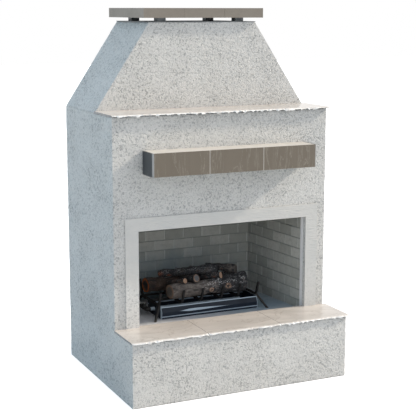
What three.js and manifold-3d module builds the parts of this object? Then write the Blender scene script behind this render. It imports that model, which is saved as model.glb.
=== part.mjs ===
import * as THREE from "three";
import { ConvexGeometry } from "three/addons/geometries/ConvexGeometry.js";
import { mergeVertices } from "three/addons/utils/BufferGeometryUtils.js";
import Module from "manifold-3d";

const wasm = await Module();
wasm.setup();

// Outdoor fireplace with a gas log set, in millimetres. X runs to the right from the middle of the walls,
// Y runs back from the face of the front wall, and Z runs up from the ground.

// Walls: stuccoed board panels on a frame of steel channels
const bodyWidth = 1530;
const bodyDepth = 910;
const panelThickness = 25;
const hearthReach = 309;
const hearthTop = 423;
const ledgeTop = 1789;
const deckThickness = 20;

// Slabs of the hearth and the ledge
const slabThickness = 12;
const slabOverhangLeft = 3;
const slabOverhangRight = 19;
const hearthOverhang = 15;
const ledgeOverhang = 27;
const slabJoint = 2;
const hearthTileCount = 3;

// Hood above the ledge, its lid and the flue
const hoodSetback = 318;
const hoodTopWidth = 770;
const hoodTop = 2351;
const lidThickness = 4;
const lidOverhang = 2;
const flueSize = 250;
const flueWall = 3;

// Chimney cap on four short posts
const capGap = 24;
const capThickness = 63;
const capOverhangSide = 46;
const capOverhangDepth = 27;
const capTileThickness = 10;
const capTileCount = 3;
const capTileJoint = 1.5;
const postSize = 59;
const postWall = 4;
const postInsetSide = 73;
const postInsetDepth = 33;

// Mantel shelf
const mantelInset = 185;
const mantelOffset = 8;
const mantelDepth = 166;
const mantelBottom = 1413;
const mantelHeight = 148;
const mantelTileThickness = 10;
const mantelTileCount = 3;
const mantelTileJoint = 2;

// Opening, the plaster band round it and the metal trim in it
const jambWidth = 158;
const openingTop = 1050;
const surroundBand = 89;
const surroundHeadBand = 85;
const surroundThickness = 8;
const trimDepth = 36;
const trimThickness = 3;

// Firebox: brick lined panels that splay towards the front, in a sheet steel shell
const floorDrop = 30;
const floorThickness = 38;
const fireboxRearSpace = 161;
const fireboxSplay = 60;
const liningHeight = 700;
const liningThickness = 30;
const brickPitch = 146;
const backPhaseShare = 0.17;
const coursePitch = 72.3;
const firstCourseHeight = 58;
const brickJoint = 6;
const brickJointDepth = 5;
const shellThickness = 2;
const domeRise = 330;
const collarHeight = 60;

// Bars of the frame: uprights, rails across, rails from front to back, and the leaning bars of the hood
const postBar = 24;
const crossBar = 22;
const depthBar = 20;
const leaningBar = 21;
const postInset = 1;
const crossInset = 2;
const depthInset = 3;
const hoodInset = 1.5;
const kingPostSetback = 56;
const sidePostSetback = 575;
const rearPostSpacing = 600;
const hearthPostSpacing = 500;
const bearerSpacing = 620;
const headerRise = 8;

// Log grate of square bar
const barSize = 13;
const grateSpanShare = 0.6013;
const grateHeight = 89;
const cradleFrontShare = 0.255;
const cradleBackShare = 0.7;
const fingerRise = 93;
const fingerLean = 35;
const rearFingerRise = 108;
const rearFingerLean = 44;
const bendReach = 22;
const legSplaySide = 55;
const legSplayDepth = 68;
const crossBarShares = [0.5, 1];
const cradleShares = [-1, -0.537, -0.148, 0.263, 0.616, 1];

// Logs: the radius of the thickest end, and the shape of the bark
const logRadius = 68;
const rimShare = 0.86;
const swellShare = 0.05;
const swellWaves = 3;
const barkShare = 0.035;
const ridgeCount = 3;
const fineRidgeCount = 5;
const fineRidgeShare = 0.6;
const ridgeTwist = 7;
const slantShare = 0.12;
const bevelShare = 0.09;
const stackShare = 3;

// Burner pan, burner tube and gas line
const panInset = 4;
const panDepthShare = 0.365;
const panFrontShare = 0.2066;
const panHeight = 79;
const panSheet = 2;
const panRim = 9;
const panRake = 14;
const panCreaseHeight = 44;
const panCreaseBulge = 3;
const burnerTubeDiameter = 25;
const burnerHeight = 47;
const burnerEndGap = 82;
const burnerStub = 30;
const burnerFootWidth = 24;
const burnerFootThickness = 6;
const burnerFootShares = [0.15, 0.85];
const burnerPortCount = 12;
const burnerPortDiameter = 5;
const burnerPortDepth = 8;
const pipeDiameter = 21;
const elbowDiameter = 30;
const elbowLength = 34;
const pipeRunOut = 52;
const pipeRunBack = 104;
const pipeWallClearance = 45;
const pipeFoot = 70;
const valveBarrelDiameter = 34;
const valveBarrelLength = 52;
const valveSetback = 50;
const valveBonnetDiameter = 22;
const valveBonnetHeight = 12;
const leverLength = 58;
const leverWidth = 14;
const leverThickness = 4;
const leverTaperShare = 0.7;
const stemDiameter = 10;
const stemHeight = 5;

// Clearances and sampling
const seatGap = 0.3;
const logGap = 0.4;
const cutOverrun = 5;
const roundSides = 16;
const barSteps = 22;
const logSides = 18;
const logRings = 12;
const settleStep = 0.05;
const dropStep = 16;
const tiltStep = 32;
const tiltTolerance = 1;
const touchVolume = 0.001;

// Places that follow from the sizes above
const openingWidth = bodyWidth - 2 * jambWidth;
const mantelWidth = bodyWidth - 2 * mantelInset;
const grateSpan = grateSpanShare * openingWidth;
const panWidth = grateSpan - 2 * panInset;
const burnerLength = panWidth - burnerEndGap;
const bodyLeft = -bodyWidth / 2;
const bodyRight = bodyWidth / 2;
const innerLeft = bodyLeft + panelThickness;
const innerRight = bodyRight - panelThickness;
const innerBack = bodyDepth - panelThickness;
const hearthInnerFront = panelThickness - hearthReach;
const trimCentre = (slabOverhangRight - slabOverhangLeft) / 2;
const openingLeft = trimCentre - openingWidth / 2;
const openingRight = trimCentre + openingWidth / 2;
const hearthDeckTop = hearthTop - slabThickness;
const ledgeDeckTop = ledgeTop - slabThickness;
const ledgeDeckBottom = ledgeDeckTop - deckThickness;
const hoodPanelTop = hoodTop - lidThickness;
const hoodRise = hoodPanelTop - ledgeDeckTop;
const hoodRun = (bodyWidth - hoodTopWidth) / 2;
const hoodPanelRun = (panelThickness * Math.hypot(hoodRise, hoodRun)) / hoodRise;
const flueCentre = (hoodSetback + bodyDepth) / 2;
const floorTop = hearthTop - floorDrop;
const floorBottom = floorTop - floorThickness;
const fireboxFront = panelThickness + trimDepth;
const fireboxBack = innerBack - fireboxRearSpace;
const fireboxDepth = fireboxBack - fireboxFront;
const liningTop = floorTop + liningHeight;
const wallSplay = fireboxSplay / fireboxDepth;
const capBottom = hoodTop + capGap;
const capTop = capBottom + capThickness;
const cradleFront = fireboxFront + cradleFrontShare * fireboxDepth;
const cradleBack = fireboxFront + cradleBackShare * fireboxDepth;
const panFront = fireboxFront + panFrontShare * fireboxDepth;
const panDepth = panDepthShare * fireboxDepth;
const barTop = grateHeight + barSize / 2;

// Colours and surfaces
const finishes = {
  stucco: { color: 0xbfc3c0, roughness: 0.95, metalness: 0 },
  plaster: { color: 0xd9d8d2, roughness: 0.85, metalness: 0 },
  creamStone: { color: 0xd6cbbb, roughness: 0.35, metalness: 0 },
  greyTile: { color: 0x8d877c, roughness: 0.45, metalness: 0 },
  board: { color: 0x9a9a94, roughness: 0.9, metalness: 0 },
  brick: { color: 0x77756d, roughness: 0.9, metalness: 0 },
  refractory: { color: 0x6d6e6d, roughness: 0.85, metalness: 0 },
  zinc: { color: 0xaeb3b5, roughness: 0.4, metalness: 0.9 },
  trimMetal: { color: 0xa9abac, roughness: 0.5, metalness: 0.6 },
  panSteel: { color: 0x39424b, roughness: 0.3, metalness: 0.9 },
  blackSteel: { color: 0x17181a, roughness: 0.55, metalness: 0.7 },
  brightSteel: { color: 0xb8b9b6, roughness: 0.25, metalness: 1 },
  bark: { color: 0x3b332e, roughness: 0.95, metalness: 0 },
  char: { color: 0x221f20, roughness: 0.95, metalness: 0 },
};

function finish(name) {
  return new THREE.MeshStandardMaterial(finishes[name]);
}

function piece(group, name, geometry, finishName, x = 0, y = 0, z = 0) {
  const mesh = new THREE.Mesh(geometry, finish(finishName));
  mesh.name = name;
  mesh.position.set(x, y, z);
  group.add(mesh);
  return mesh;
}

// A box between two corners
function block(group, name, finishName, xs, ys, zs) {
  const geometry = new THREE.BoxGeometry(xs[1] - xs[0], ys[1] - ys[0], zs[1] - zs[0]);
  const middle = [xs, ys, zs].map(([low, high]) => (low + high) / 2);
  return piece(group, name, geometry, finishName, ...middle);
}

function boxBetween(xs, ys, zs) {
  const geometry = new THREE.BoxGeometry(xs[1] - xs[0], ys[1] - ys[0], zs[1] - zs[0]);
  return geometry.translate((xs[0] + xs[1]) / 2, (ys[0] + ys[1]) / 2, (zs[0] + zs[1]) / 2);
}

function extrude(points, depth, holes = []) {
  const shape = new THREE.Shape(points.map(([u, v]) => new THREE.Vector2(u, v)));
  shape.holes = holes.map((hole) => new THREE.Path(hole.map(([u, v]) => new THREE.Vector2(u, v))));
  return new THREE.ExtrudeGeometry(shape, { depth, bevelEnabled: false });
}

// Outlines in plan, in side view and in front view, each drawn out along the third axis
function prismAlongZ(points, height, holes) {
  return extrude(points, height, holes);
}

function prismAlongX(points, width) {
  const turn = new THREE.Matrix4().makeBasis(
    new THREE.Vector3(0, 1, 0),
    new THREE.Vector3(0, 0, 1),
    new THREE.Vector3(1, 0, 0),
  );
  return extrude(points, width).applyMatrix4(turn);
}

function prismAlongY(points, depth, holes) {
  const turn = new THREE.Matrix4().makeBasis(
    new THREE.Vector3(1, 0, 0),
    new THREE.Vector3(0, 0, 1),
    new THREE.Vector3(0, -1, 0),
  );
  return extrude(points, depth, holes).applyMatrix4(turn).translate(0, depth, 0);
}

function rectangle(xs, ys) {
  return [
    [xs[0], ys[0]],
    [xs[1], ys[0]],
    [xs[1], ys[1]],
    [xs[0], ys[1]],
  ];
}

// Boolean cuts and joins
function toSolid(geometry) {
  const bare = geometry.clone();
  bare.deleteAttribute("normal");
  bare.deleteAttribute("uv");
  const merged = mergeVertices(bare);
  return new wasm.Manifold(
    new wasm.Mesh({
      numProp: 3,
      vertProperties: new Float32Array(merged.attributes.position.array),
      triVerts: new Uint32Array(merged.index.array),
    }),
  );
}

function toGeometry(solid) {
  const mesh = solid.getMesh();
  const geometry = new THREE.BufferGeometry();
  geometry.setAttribute("position", new THREE.BufferAttribute(mesh.vertProperties, 3));
  geometry.setIndex(new THREE.BufferAttribute(mesh.triVerts, 1));
  geometry.computeVertexNormals();
  return geometry;
}

function join(geometries) {
  return geometries.map(toSolid).reduce((whole, next) => whole.add(next));
}

function cut(geometry, tools) {
  return toGeometry(toSolid(geometry).subtract(join(tools)));
}

function cylinderBetween(from, to, diameter, sides = roundSides) {
  const length = from.distanceTo(to);
  const geometry = new THREE.CylinderGeometry(diameter / 2, diameter / 2, length, sides);
  const along = to.clone().sub(from).normalize();
  geometry.applyQuaternion(new THREE.Quaternion().setFromUnitVectors(new THREE.Vector3(0, 1, 0), along));
  const middle = from.clone().add(to).multiplyScalar(0.5);
  return geometry.translate(middle.x, middle.y, middle.z);
}

// Outer walls. The side panels are cut in one L from a sheet, as deep as the hearth and the body together.
function hearthFrontPanel(group) {
  const ys = [-hearthReach, hearthInnerFront];
  block(group, "hearth_front_panel", "stucco", [bodyLeft, bodyRight], ys, [0, hearthDeckTop]);
}

function sidePanel(group, name, x) {
  const outline = [
    [hearthInnerFront, 0],
    [innerBack, 0],
    [innerBack, ledgeDeckTop],
    [panelThickness, ledgeDeckTop],
    [panelThickness, hearthDeckTop],
    [hearthInnerFront, hearthDeckTop],
  ];
  piece(group, name, prismAlongX(outline, panelThickness), "stucco", x);
}

function backPanel(group) {
  const outline = [
    [bodyLeft, 0],
    [bodyRight, 0],
    [bodyRight, ledgeDeckTop],
    [hoodTopWidth / 2, hoodPanelTop],
    [-hoodTopWidth / 2, hoodPanelTop],
    [bodyLeft, ledgeDeckTop],
  ];
  piece(group, "back_panel", prismAlongY(outline, panelThickness), "stucco", 0, innerBack);
}

function frontWallPanel(group) {
  const outline = [
    [bodyLeft, hearthDeckTop],
    [openingLeft, hearthDeckTop],
    [openingLeft, openingTop],
    [openingRight, openingTop],
    [openingRight, hearthDeckTop],
    [bodyRight, hearthDeckTop],
    [bodyRight, ledgeDeckTop],
    [bodyLeft, ledgeDeckTop],
  ];
  piece(group, "front_wall_panel", prismAlongY(outline, panelThickness), "stucco");
}

function plasterSurround(group) {
  const outline = [
    [openingLeft - surroundBand, hearthTop],
    [openingLeft, hearthTop],
    [openingLeft, openingTop],
    [openingRight, openingTop],
    [openingRight, hearthTop],
    [openingRight + surroundBand, hearthTop],
    [openingRight + surroundBand, openingTop + surroundHeadBand],
    [openingLeft - surroundBand, openingTop + surroundHeadBand],
  ];
  const band = prismAlongY(outline, surroundThickness);
  piece(group, "plaster_surround", band, "plaster", 0, -surroundThickness);
}

function openingTrim(group) {
  const outline = [
    [openingLeft - trimThickness, floorTop],
    [openingLeft, floorTop],
    [openingLeft, openingTop],
    [openingRight, openingTop],
    [openingRight, floorTop],
    [openingRight + trimThickness, floorTop],
    [openingRight + trimThickness, openingTop + trimThickness],
    [openingLeft - trimThickness, openingTop + trimThickness],
  ];
  piece(group, "opening_trim", prismAlongY(outline, trimDepth), "trimMetal", 0, panelThickness);
}

function decks(group) {
  const xs = [innerLeft, innerRight];
  const hearthDeck = [hearthInnerFront, panelThickness];
  block(group, "hearth_deck", "board", xs, hearthDeck, [hearthDeckTop - deckThickness, hearthDeckTop]);
  const ledgeDeck = [panelThickness, hoodSetback + panelThickness];
  block(group, "ledge_deck", "board", xs, ledgeDeck, [ledgeDeckBottom, ledgeDeckTop]);
}

function walls() {
  const group = new THREE.Group();
  hearthFrontPanel(group);
  sidePanel(group, "left_side_panel", bodyLeft);
  sidePanel(group, "right_side_panel", innerRight);
  backPanel(group);
  frontWallPanel(group);
  plasterSurround(group);
  openingTrim(group);
  decks(group);
  return group;
}

// Hearth tiles run under the opening to the firebox floor. The outer ones are notched round the wall.
function hearthTile(group, name, from, to) {
  const front = -hearthReach - hearthOverhang;
  const left = Math.max(from, openingLeft);
  const right = Math.min(to, openingRight);
  const outline = [
    [from, front],
    [to, front],
    [to, right < to ? 0 : panelThickness],
  ];
  if (right < to) {
    outline.push([right, 0]);
    outline.push([right, panelThickness]);
  }
  if (from < left) {
    outline.push([left, panelThickness]);
    outline.push([left, 0]);
  }
  outline.push([from, from < left ? 0 : panelThickness]);
  piece(group, name, prismAlongZ(outline, slabThickness), "creamStone", 0, 0, hearthDeckTop);
}

function slabs() {
  const group = new THREE.Group();
  const left = bodyLeft - slabOverhangLeft;
  const right = bodyRight + slabOverhangRight;
  const pitch = (right - left + slabJoint) / hearthTileCount;
  for (let i = 0; i < hearthTileCount; i += 1) {
    const start = left + i * pitch;
    hearthTile(group, `hearth_tile_${i + 1}`, start, start + pitch - slabJoint);
  }
  const ledgeYs = [-ledgeOverhang, hoodSetback];
  block(group, "ledge_slab", "creamStone", [left, right], ledgeYs, [ledgeDeckTop, ledgeTop]);
  return group;
}

// Quarter round profile that closes the corner between a face tile and an end tile
function quarterRound(side, height) {
  const outline = [[0, 0]];
  for (let i = 0; i <= roundSides / 2; i += 1) {
    const angle = (Math.PI * i) / roundSides;
    outline.push([side * mantelTileThickness * Math.cos(angle), -mantelTileThickness * Math.sin(angle)]);
  }
  return prismAlongZ(outline, height);
}

// Mantel: a beam on the wall with face tiles, end tiles and a top tile, and a trim at each corner
function mantel() {
  const group = new THREE.Group();
  group.position.set(trimCentre + mantelOffset, 0, mantelBottom);
  const half = mantelWidth / 2;
  const beamTop = mantelHeight - slabThickness;
  const beamHalf = half - mantelTileThickness;
  const beamFront = mantelTileThickness - mantelDepth;
  block(group, "mantel_beam", "board", [-beamHalf, beamHalf], [beamFront, 0], [0, beamTop]);
  const pitch = (2 * beamHalf + mantelTileJoint) / mantelTileCount;
  for (let i = 0; i < mantelTileCount; i += 1) {
    const start = -beamHalf + i * pitch;
    const xs = [start, start + pitch - mantelTileJoint];
    block(group, `mantel_face_tile_${i + 1}`, "greyTile", xs, [-mantelDepth, beamFront], [0, mantelHeight]);
  }
  for (const [name, side] of [
    ["mantel_corner_trim_left", -1],
    ["mantel_corner_trim_right", 1],
  ]) {
    piece(group, name, quarterRound(side, mantelHeight), "trimMetal", side * beamHalf, beamFront, 0);
  }
  block(group, "mantel_end_tile_left", "greyTile", [-half, -beamHalf], [beamFront, 0], [0, mantelHeight]);
  block(group, "mantel_end_tile_right", "greyTile", [beamHalf, half], [beamFront, 0], [0, mantelHeight]);
  block(group, "mantel_top_tile", "creamStone", [-beamHalf, beamHalf], [beamFront, 0], [beamTop, mantelHeight]);
  return group;
}

// Hood: a front panel and two leaning side panels between it and the back panel, under a steel lid
function hoodFrontPanel(group) {
  const outline = [
    [bodyLeft, 0],
    [bodyRight, 0],
    [hoodTopWidth / 2, hoodRise],
    [-hoodTopWidth / 2, hoodRise],
  ];
  const panel = prismAlongY(outline, panelThickness);
  piece(group, "hood_front_panel", panel, "stucco", 0, hoodSetback, ledgeDeckTop);
}

function hoodSidePanel(group, name, side) {
  const outline = [
    [side * bodyRight, 0],
    [side * (hoodTopWidth / 2), hoodRise],
    [side * (hoodTopWidth / 2 - hoodPanelRun), hoodRise],
    [side * (bodyRight - hoodPanelRun), 0],
  ];
  const front = hoodSetback + panelThickness;
  piece(group, name, prismAlongY(outline, innerBack - front), "stucco", 0, front, ledgeDeckTop);
}

function hoodLid(group) {
  const xs = [-hoodTopWidth / 2 - lidOverhang, hoodTopWidth / 2 + lidOverhang];
  const ys = [hoodSetback - lidOverhang, bodyDepth + lidOverhang];
  const holeHalf = flueSize / 2 + seatGap;
  const hole = rectangle([-holeHalf, holeHalf], [flueCentre - holeHalf, flueCentre + holeHalf]);
  const lid = prismAlongZ(rectangle(xs, ys), lidThickness, [hole]);
  piece(group, "hood_lid", lid, "zinc", 0, 0, hoodPanelTop);
}

function fluePipe(group, bottom) {
  const half = flueSize / 2;
  const bore = half - flueWall;
  const outline = rectangle([-half, half], [flueCentre - half, flueCentre + half]);
  const hole = rectangle([-bore, bore], [flueCentre - bore, flueCentre + bore]);
  piece(group, "flue_pipe", prismAlongZ(outline, hoodTop - bottom, [hole]), "zinc", 0, 0, bottom);
}

function hood() {
  const group = new THREE.Group();
  hoodFrontPanel(group);
  hoodSidePanel(group, "hood_left_panel", -1);
  hoodSidePanel(group, "hood_right_panel", 1);
  hoodLid(group);
  fluePipe(group, liningTop + domeRise + seatGap);
  return group;
}

// Chimney cap: a core slab clad with tiles, on four posts of square tube
function capPost(group, name, x, y) {
  const half = postSize / 2;
  const bore = half - postWall;
  const hole = rectangle([-bore, bore], [-bore, bore]);
  const tube = prismAlongZ(rectangle([-half, half], [-half, half]), capGap, [hole]);
  piece(group, name, tube, "blackSteel", x, y, hoodTop);
}

function capTileRow(group, name, ys) {
  const half = hoodTopWidth / 2 + capOverhangSide;
  const pitch = (2 * half + capTileJoint) / capTileCount;
  for (let i = 0; i < capTileCount; i += 1) {
    const start = -half + i * pitch;
    const xs = [start, start + pitch - capTileJoint];
    block(group, `${name}_${i + 1}`, "greyTile", xs, ys, [capBottom, capTop]);
  }
}

function cap() {
  const group = new THREE.Group();
  const postX = hoodTopWidth / 2 - postInsetSide - postSize / 2;
  const postFront = hoodSetback + postInsetDepth + postSize / 2;
  const postBack = bodyDepth - postInsetDepth - postSize / 2;
  capPost(group, "cap_post_front_left", -postX, postFront);
  capPost(group, "cap_post_front_right", postX, postFront);
  capPost(group, "cap_post_rear_left", -postX, postBack);
  capPost(group, "cap_post_rear_right", postX, postBack);
  const half = hoodTopWidth / 2 + capOverhangSide;
  const front = hoodSetback - capOverhangDepth;
  const back = bodyDepth + capOverhangDepth;
  const coreX = [capTileThickness - half, half - capTileThickness];
  const coreY = [front + capTileThickness, back - capTileThickness];
  block(group, "cap_core", "board", coreX, coreY, [capBottom, capTop]);
  capTileRow(group, "cap_front_tile", [front, coreY[0]]);
  capTileRow(group, "cap_back_tile", [coreY[1], back]);
  block(group, "cap_end_tile_left", "greyTile", [-half, coreX[0]], coreY, [capBottom, capTop]);
  block(group, "cap_end_tile_right", "greyTile", [coreX[1], half], coreY, [capBottom, capTop]);
  return group;
}

// Welded steel frame inside the walls. Its members differ a little in size and inset with their direction,
// so that no two faces lie in one plane.
function vector(x, y, z) {
  return new THREE.Vector3(x, y, z);
}

function post(x, y, zs) {
  const half = postBar / 2;
  return boxBetween([x - half, x + half], [y - half, y + half], zs);
}

function crossRail(xs, y, z) {
  const half = crossBar / 2;
  return boxBetween([xs[0] + crossInset, xs[1] - crossInset], [y - half, y + half], [z - half, z + half]);
}

function depthRail(x, ys, z) {
  const half = depthBar / 2;
  return boxBetween([x - half, x + half], [ys[0] + depthInset, ys[1] - depthInset], [z - half, z + half]);
}

// A level ring of rails just inside a rectangle
function railRing(xs, ys, z) {
  const across = crossInset + crossBar / 2;
  const along = depthInset + depthBar / 2;
  return [
    crossRail(xs, ys[0] + across, z),
    crossRail(xs, ys[1] - across, z),
    depthRail(xs[0] + along, ys, z),
    depthRail(xs[1] - along, ys, z),
  ];
}

const frameXs = [innerLeft, innerRight];
const railDrop = crossInset + crossBar / 2;
const postReach = postInset + postBar / 2;

function bodyMembers() {
  const top = ledgeDeckBottom - postInset;
  const frontY = panelThickness + postReach;
  const backY = innerBack - postReach;
  const bearerZ = floorBottom - shellThickness - railDrop;
  const members = [
    ...railRing(frameXs, [hearthInnerFront, innerBack], railDrop),
    ...railRing(frameXs, [panelThickness, innerBack], ledgeDeckBottom - railDrop),
    crossRail(frameXs, panelThickness + railDrop, railDrop),
    crossRail(frameXs, panelThickness + railDrop, bearerZ),
    crossRail(frameXs, innerBack - railDrop, bearerZ),
    crossRail(frameXs, panelThickness + railDrop, mantelBottom + mantelHeight / 2),
  ];
  for (const side of [-1, 1]) {
    const wall = side * (innerRight - postReach);
    members.push(post(wall, frontY, [0, top]));
    members.push(post(wall, panelThickness + sidePostSetback, [0, top]));
    members.push(post(wall, backY, [0, top]));
    members.push(post(trimCentre + side * (openingWidth / 2 + kingPostSetback), frontY, [0, top]));
    members.push(post((side * rearPostSpacing) / 2, backY, [0, top]));
    members.push(depthRail((side * bearerSpacing) / 2, [panelThickness, innerBack], bearerZ));
  }
  const headerYs = [panelThickness + crossInset, panelThickness + crossInset + crossBar];
  const headerZs = [openingTop + headerRise, openingTop + headerRise + crossBar];
  members.push(boxBetween([innerLeft + crossInset, innerRight - crossInset], headerYs, headerZs));
  return members;
}

function hearthMembers() {
  const top = hearthDeckTop - deckThickness;
  const z = top - railDrop;
  const frontY = hearthInnerFront + postReach;
  const members = [crossRail(frameXs, hearthInnerFront + railDrop, z)];
  for (const side of [-1, 1]) {
    const ys = [hearthInnerFront, panelThickness + postBar];
    members.push(depthRail(side * (innerRight - depthInset - depthBar / 2), ys, z));
    members.push(post(side * (innerRight - postReach), frontY, [0, top - postInset]));
    members.push(post((side * hearthPostSpacing) / 2, frontY, [0, top - postInset]));
  }
  return members;
}

// The hood's base ring, its top ring and the four bars that lean between them along the side panels
function hoodMembers() {
  const ys = [hoodSetback + panelThickness + hoodInset, innerBack - hoodInset];
  const baseXs = [innerLeft + hoodInset, innerRight - hoodInset];
  const topHalf = hoodTopWidth / 2 - hoodPanelRun - hoodInset;
  const baseZ = ledgeDeckTop - railDrop;
  const topZ = hoodPanelTop - railDrop;
  const slope = hoodRun / hoodRise;
  const reach = hoodPanelRun + (postInset + leaningBar / 2) * Math.hypot(1, slope);
  const halfAt = (z) => hoodTopWidth / 2 - reach + slope * (hoodPanelTop - z);
  const footZ = baseZ + crossBar / 4;
  const members = [...railRing(baseXs, ys, baseZ), ...railRing([-topHalf, topHalf], ys, topZ)];
  for (const side of [-1, 1]) {
    for (const y of [ys[0] + railDrop, ys[1] - railDrop]) {
      const foot = vector(side * halfAt(footZ), y, footZ);
      members.push(straightBar(foot, vector(side * halfAt(topZ), y, topZ), leaningBar));
    }
  }
  return members;
}

function steelFrame(group) {
  const members = [...bodyMembers(), ...hearthMembers(), ...hoodMembers()];
  piece(group, "steel_frame", toGeometry(join(members)), "zinc");
}

// Half width of the firebox at a depth, to the brick face or to a surface further out
function fireboxHalf(y, outward) {
  return openingWidth / 2 - wallSplay * (y - fireboxFront) + outward * Math.hypot(1, wallSplay);
}

// A lining panel with its bricks in running bond. It lies along X, with its brick face towards minus Y.
function brickPanel(length, phase, trims) {
  const cuts = [];
  const ys = [-cutOverrun, brickJointDepth];
  const half = brickJoint / 2;
  let course = 0;
  for (let z = firstCourseHeight - coursePitch; z < liningHeight; z += coursePitch) {
    const low = Math.max(z, 0);
    const high = Math.min(z + coursePitch, liningHeight + cutOverrun);
    if (z > 0) cuts.push(boxBetween([-cutOverrun, length + cutOverrun], ys, [z - half, z + half]));
    const shift = phase + (course % 2) * (brickPitch / 2);
    const first = shift - brickPitch * Math.ceil(shift / brickPitch);
    for (let x = first; x < length; x += brickPitch) {
      const clear = x > brickJoint && x < length - brickJoint;
      if (clear) cuts.push(boxBetween([x - half, x + half], ys, [low === 0 ? -cutOverrun : low, high]));
    }
    course += 1;
  }
  return cut(boxBetween([0, length], [0, liningThickness], [0, liningHeight]), [...cuts, ...trims]);
}

function backLining(group) {
  const half = fireboxHalf(fireboxBack + liningThickness, liningThickness);
  const phase = half + backPhaseShare * brickPitch;
  const panel = brickPanel(2 * half, phase, []);
  piece(group, "firebox_back_wall", panel, "brick", trimCentre - half, fireboxBack, floorTop);
}

// Side linings stand on the splay line. Their ends are cut square, and the left one lets the pipe in.
function sideLining(group, name, side) {
  const angle = Math.atan(wallSplay);
  const spare = liningThickness;
  const length = Math.hypot(fireboxDepth, wallSplay * fireboxDepth) + 2 * spare;
  const panel = brickPanel(length, brickPitch / 2, []);
  const turn = side > 0 ? -Math.PI / 2 : Math.PI / 2;
  const placed = panel.applyMatrix4(new THREE.Matrix4().makeTranslation(-length / 2, 0, 0));
  placed.applyMatrix4(new THREE.Matrix4().makeRotationZ(turn + side * angle));
  const middleY = (fireboxFront + fireboxBack) / 2;
  const x = side * fireboxHalf(middleY, 0);
  placed.translate(x, middleY, 0);
  const far = openingWidth;
  const zs = [-cutOverrun, liningHeight + cutOverrun];
  const tools = [
    boxBetween([-far, far], [-far, fireboxFront + shellThickness + seatGap], zs),
    boxBetween([-far, far], [fireboxBack - seatGap, far + fireboxBack], zs),
  ];
  if (side < 0) {
    const run = pipeRun();
    const height = run.back.z - floorTop;
    const from = vector(-far, run.back.y, height);
    tools.push(cylinderBetween(from, vector(0, run.back.y, height), pipeDiameter + 2 * seatGap));
  }
  piece(group, name, cut(placed, tools), "brick", trimCentre, 0, floorTop);
}

function fireboxFloor(group) {
  const frontHalf = openingWidth / 2 + trimThickness;
  const sideFront = fireboxHalf(fireboxFront, liningThickness);
  const sideBack = fireboxHalf(fireboxBack + liningThickness, liningThickness);
  const outline = [
    [-frontHalf, panelThickness],
    [frontHalf, panelThickness],
    [frontHalf, fireboxFront],
    [sideFront, fireboxFront],
    [sideBack, fireboxBack + liningThickness],
    [-sideBack, fireboxBack + liningThickness],
    [-sideFront, fireboxFront],
    [-frontHalf, fireboxFront],
  ];
  const slab = prismAlongZ(outline, floorThickness);
  piece(group, "firebox_floor", slab, "refractory", trimCentre, 0, floorBottom);
}

// Corners of the shell at a height, with its walls moved out by an offset
function shellCorners(z, outward, front) {
  const back = fireboxBack + liningThickness + outward;
  const corners = [];
  for (const side of [-1, 1]) {
    corners.push(vector(trimCentre + side * fireboxHalf(fireboxFront, liningThickness + outward), front, z));
    corners.push(vector(trimCentre + side * fireboxHalf(back, liningThickness + outward), back, z));
  }
  return corners;
}

function collarCorners(z, half) {
  return rectangle([-half, half], [flueCentre - half, flueCentre + half]).map(([x, y]) => vector(x, y, z));
}

// Sheet steel shell: walls, floor, a smoke dome that draws in to the flue, and a collar for the flue pipe
function fireboxShell(group) {
  const near = seatGap;
  const far = seatGap + shellThickness;
  const domeTop = liningTop + domeRise;
  const boreHalf = flueSize / 2 + seatGap;
  const collarHalf = boreHalf + shellThickness;
  const boreTopHalf = flueSize / 2 - flueWall;
  const front = fireboxFront;
  const frontInside = front + shellThickness;
  const shellBottom = floorBottom - shellThickness;
  const outerWalls = [...shellCorners(shellBottom, far, front), ...shellCorners(liningTop, far, front)];
  const outerDome = [...shellCorners(liningTop, far, front), ...collarCorners(domeTop, collarHalf)];
  const collarZs = [domeTop - cutOverrun, domeTop + collarHeight];
  const flueYs = (half) => [flueCentre - half, flueCentre + half];
  const collar = boxBetween([-collarHalf, collarHalf], flueYs(collarHalf), collarZs);
  const outer = join([new ConvexGeometry(outerWalls), new ConvexGeometry(outerDome), collar]);
  const innerRim = shellCorners(liningTop, near, frontInside);
  const innerWalls = [...shellCorners(floorBottom, near, frontInside), ...innerRim];
  const innerDome = [...innerRim, ...collarCorners(domeTop, boreTopHalf)];
  const pipeBore = boxBetween([-boreHalf, boreHalf], flueYs(boreHalf), [domeTop, collarZs[1] + cutOverrun]);
  const throatZs = [domeTop - cutOverrun, domeTop + cutOverrun];
  const throat = boxBetween([-boreTopHalf, boreTopHalf], flueYs(boreTopHalf), throatZs);
  const mouthHalf = fireboxHalf(fireboxFront, liningThickness + near);
  const mouthXs = [trimCentre - mouthHalf, trimCentre + mouthHalf];
  const mouth = boxBetween(mouthXs, [front - cutOverrun, frontInside + cutOverrun], [floorBottom, openingTop]);
  const run = pipeRun();
  const pipeHole = cylinderBetween(
    vector(bodyLeft, run.back.y, run.back.z),
    vector(run.back.x, run.back.y, run.back.z),
    pipeDiameter + 2 * seatGap,
  );
  const hollow = [new ConvexGeometry(innerWalls), new ConvexGeometry(innerDome), pipeBore, throat];
  const shell = outer.subtract(join([...hollow, mouth, pipeHole]));
  piece(group, "firebox_shell", toGeometry(shell), "zinc");
}

function firebox() {
  const group = new THREE.Group();
  fireboxFloor(group);
  backLining(group);
  sideLining(group, "firebox_left_wall", -1);
  sideLining(group, "firebox_right_wall", 1);
  fireboxShell(group);
  return group;
}

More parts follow.
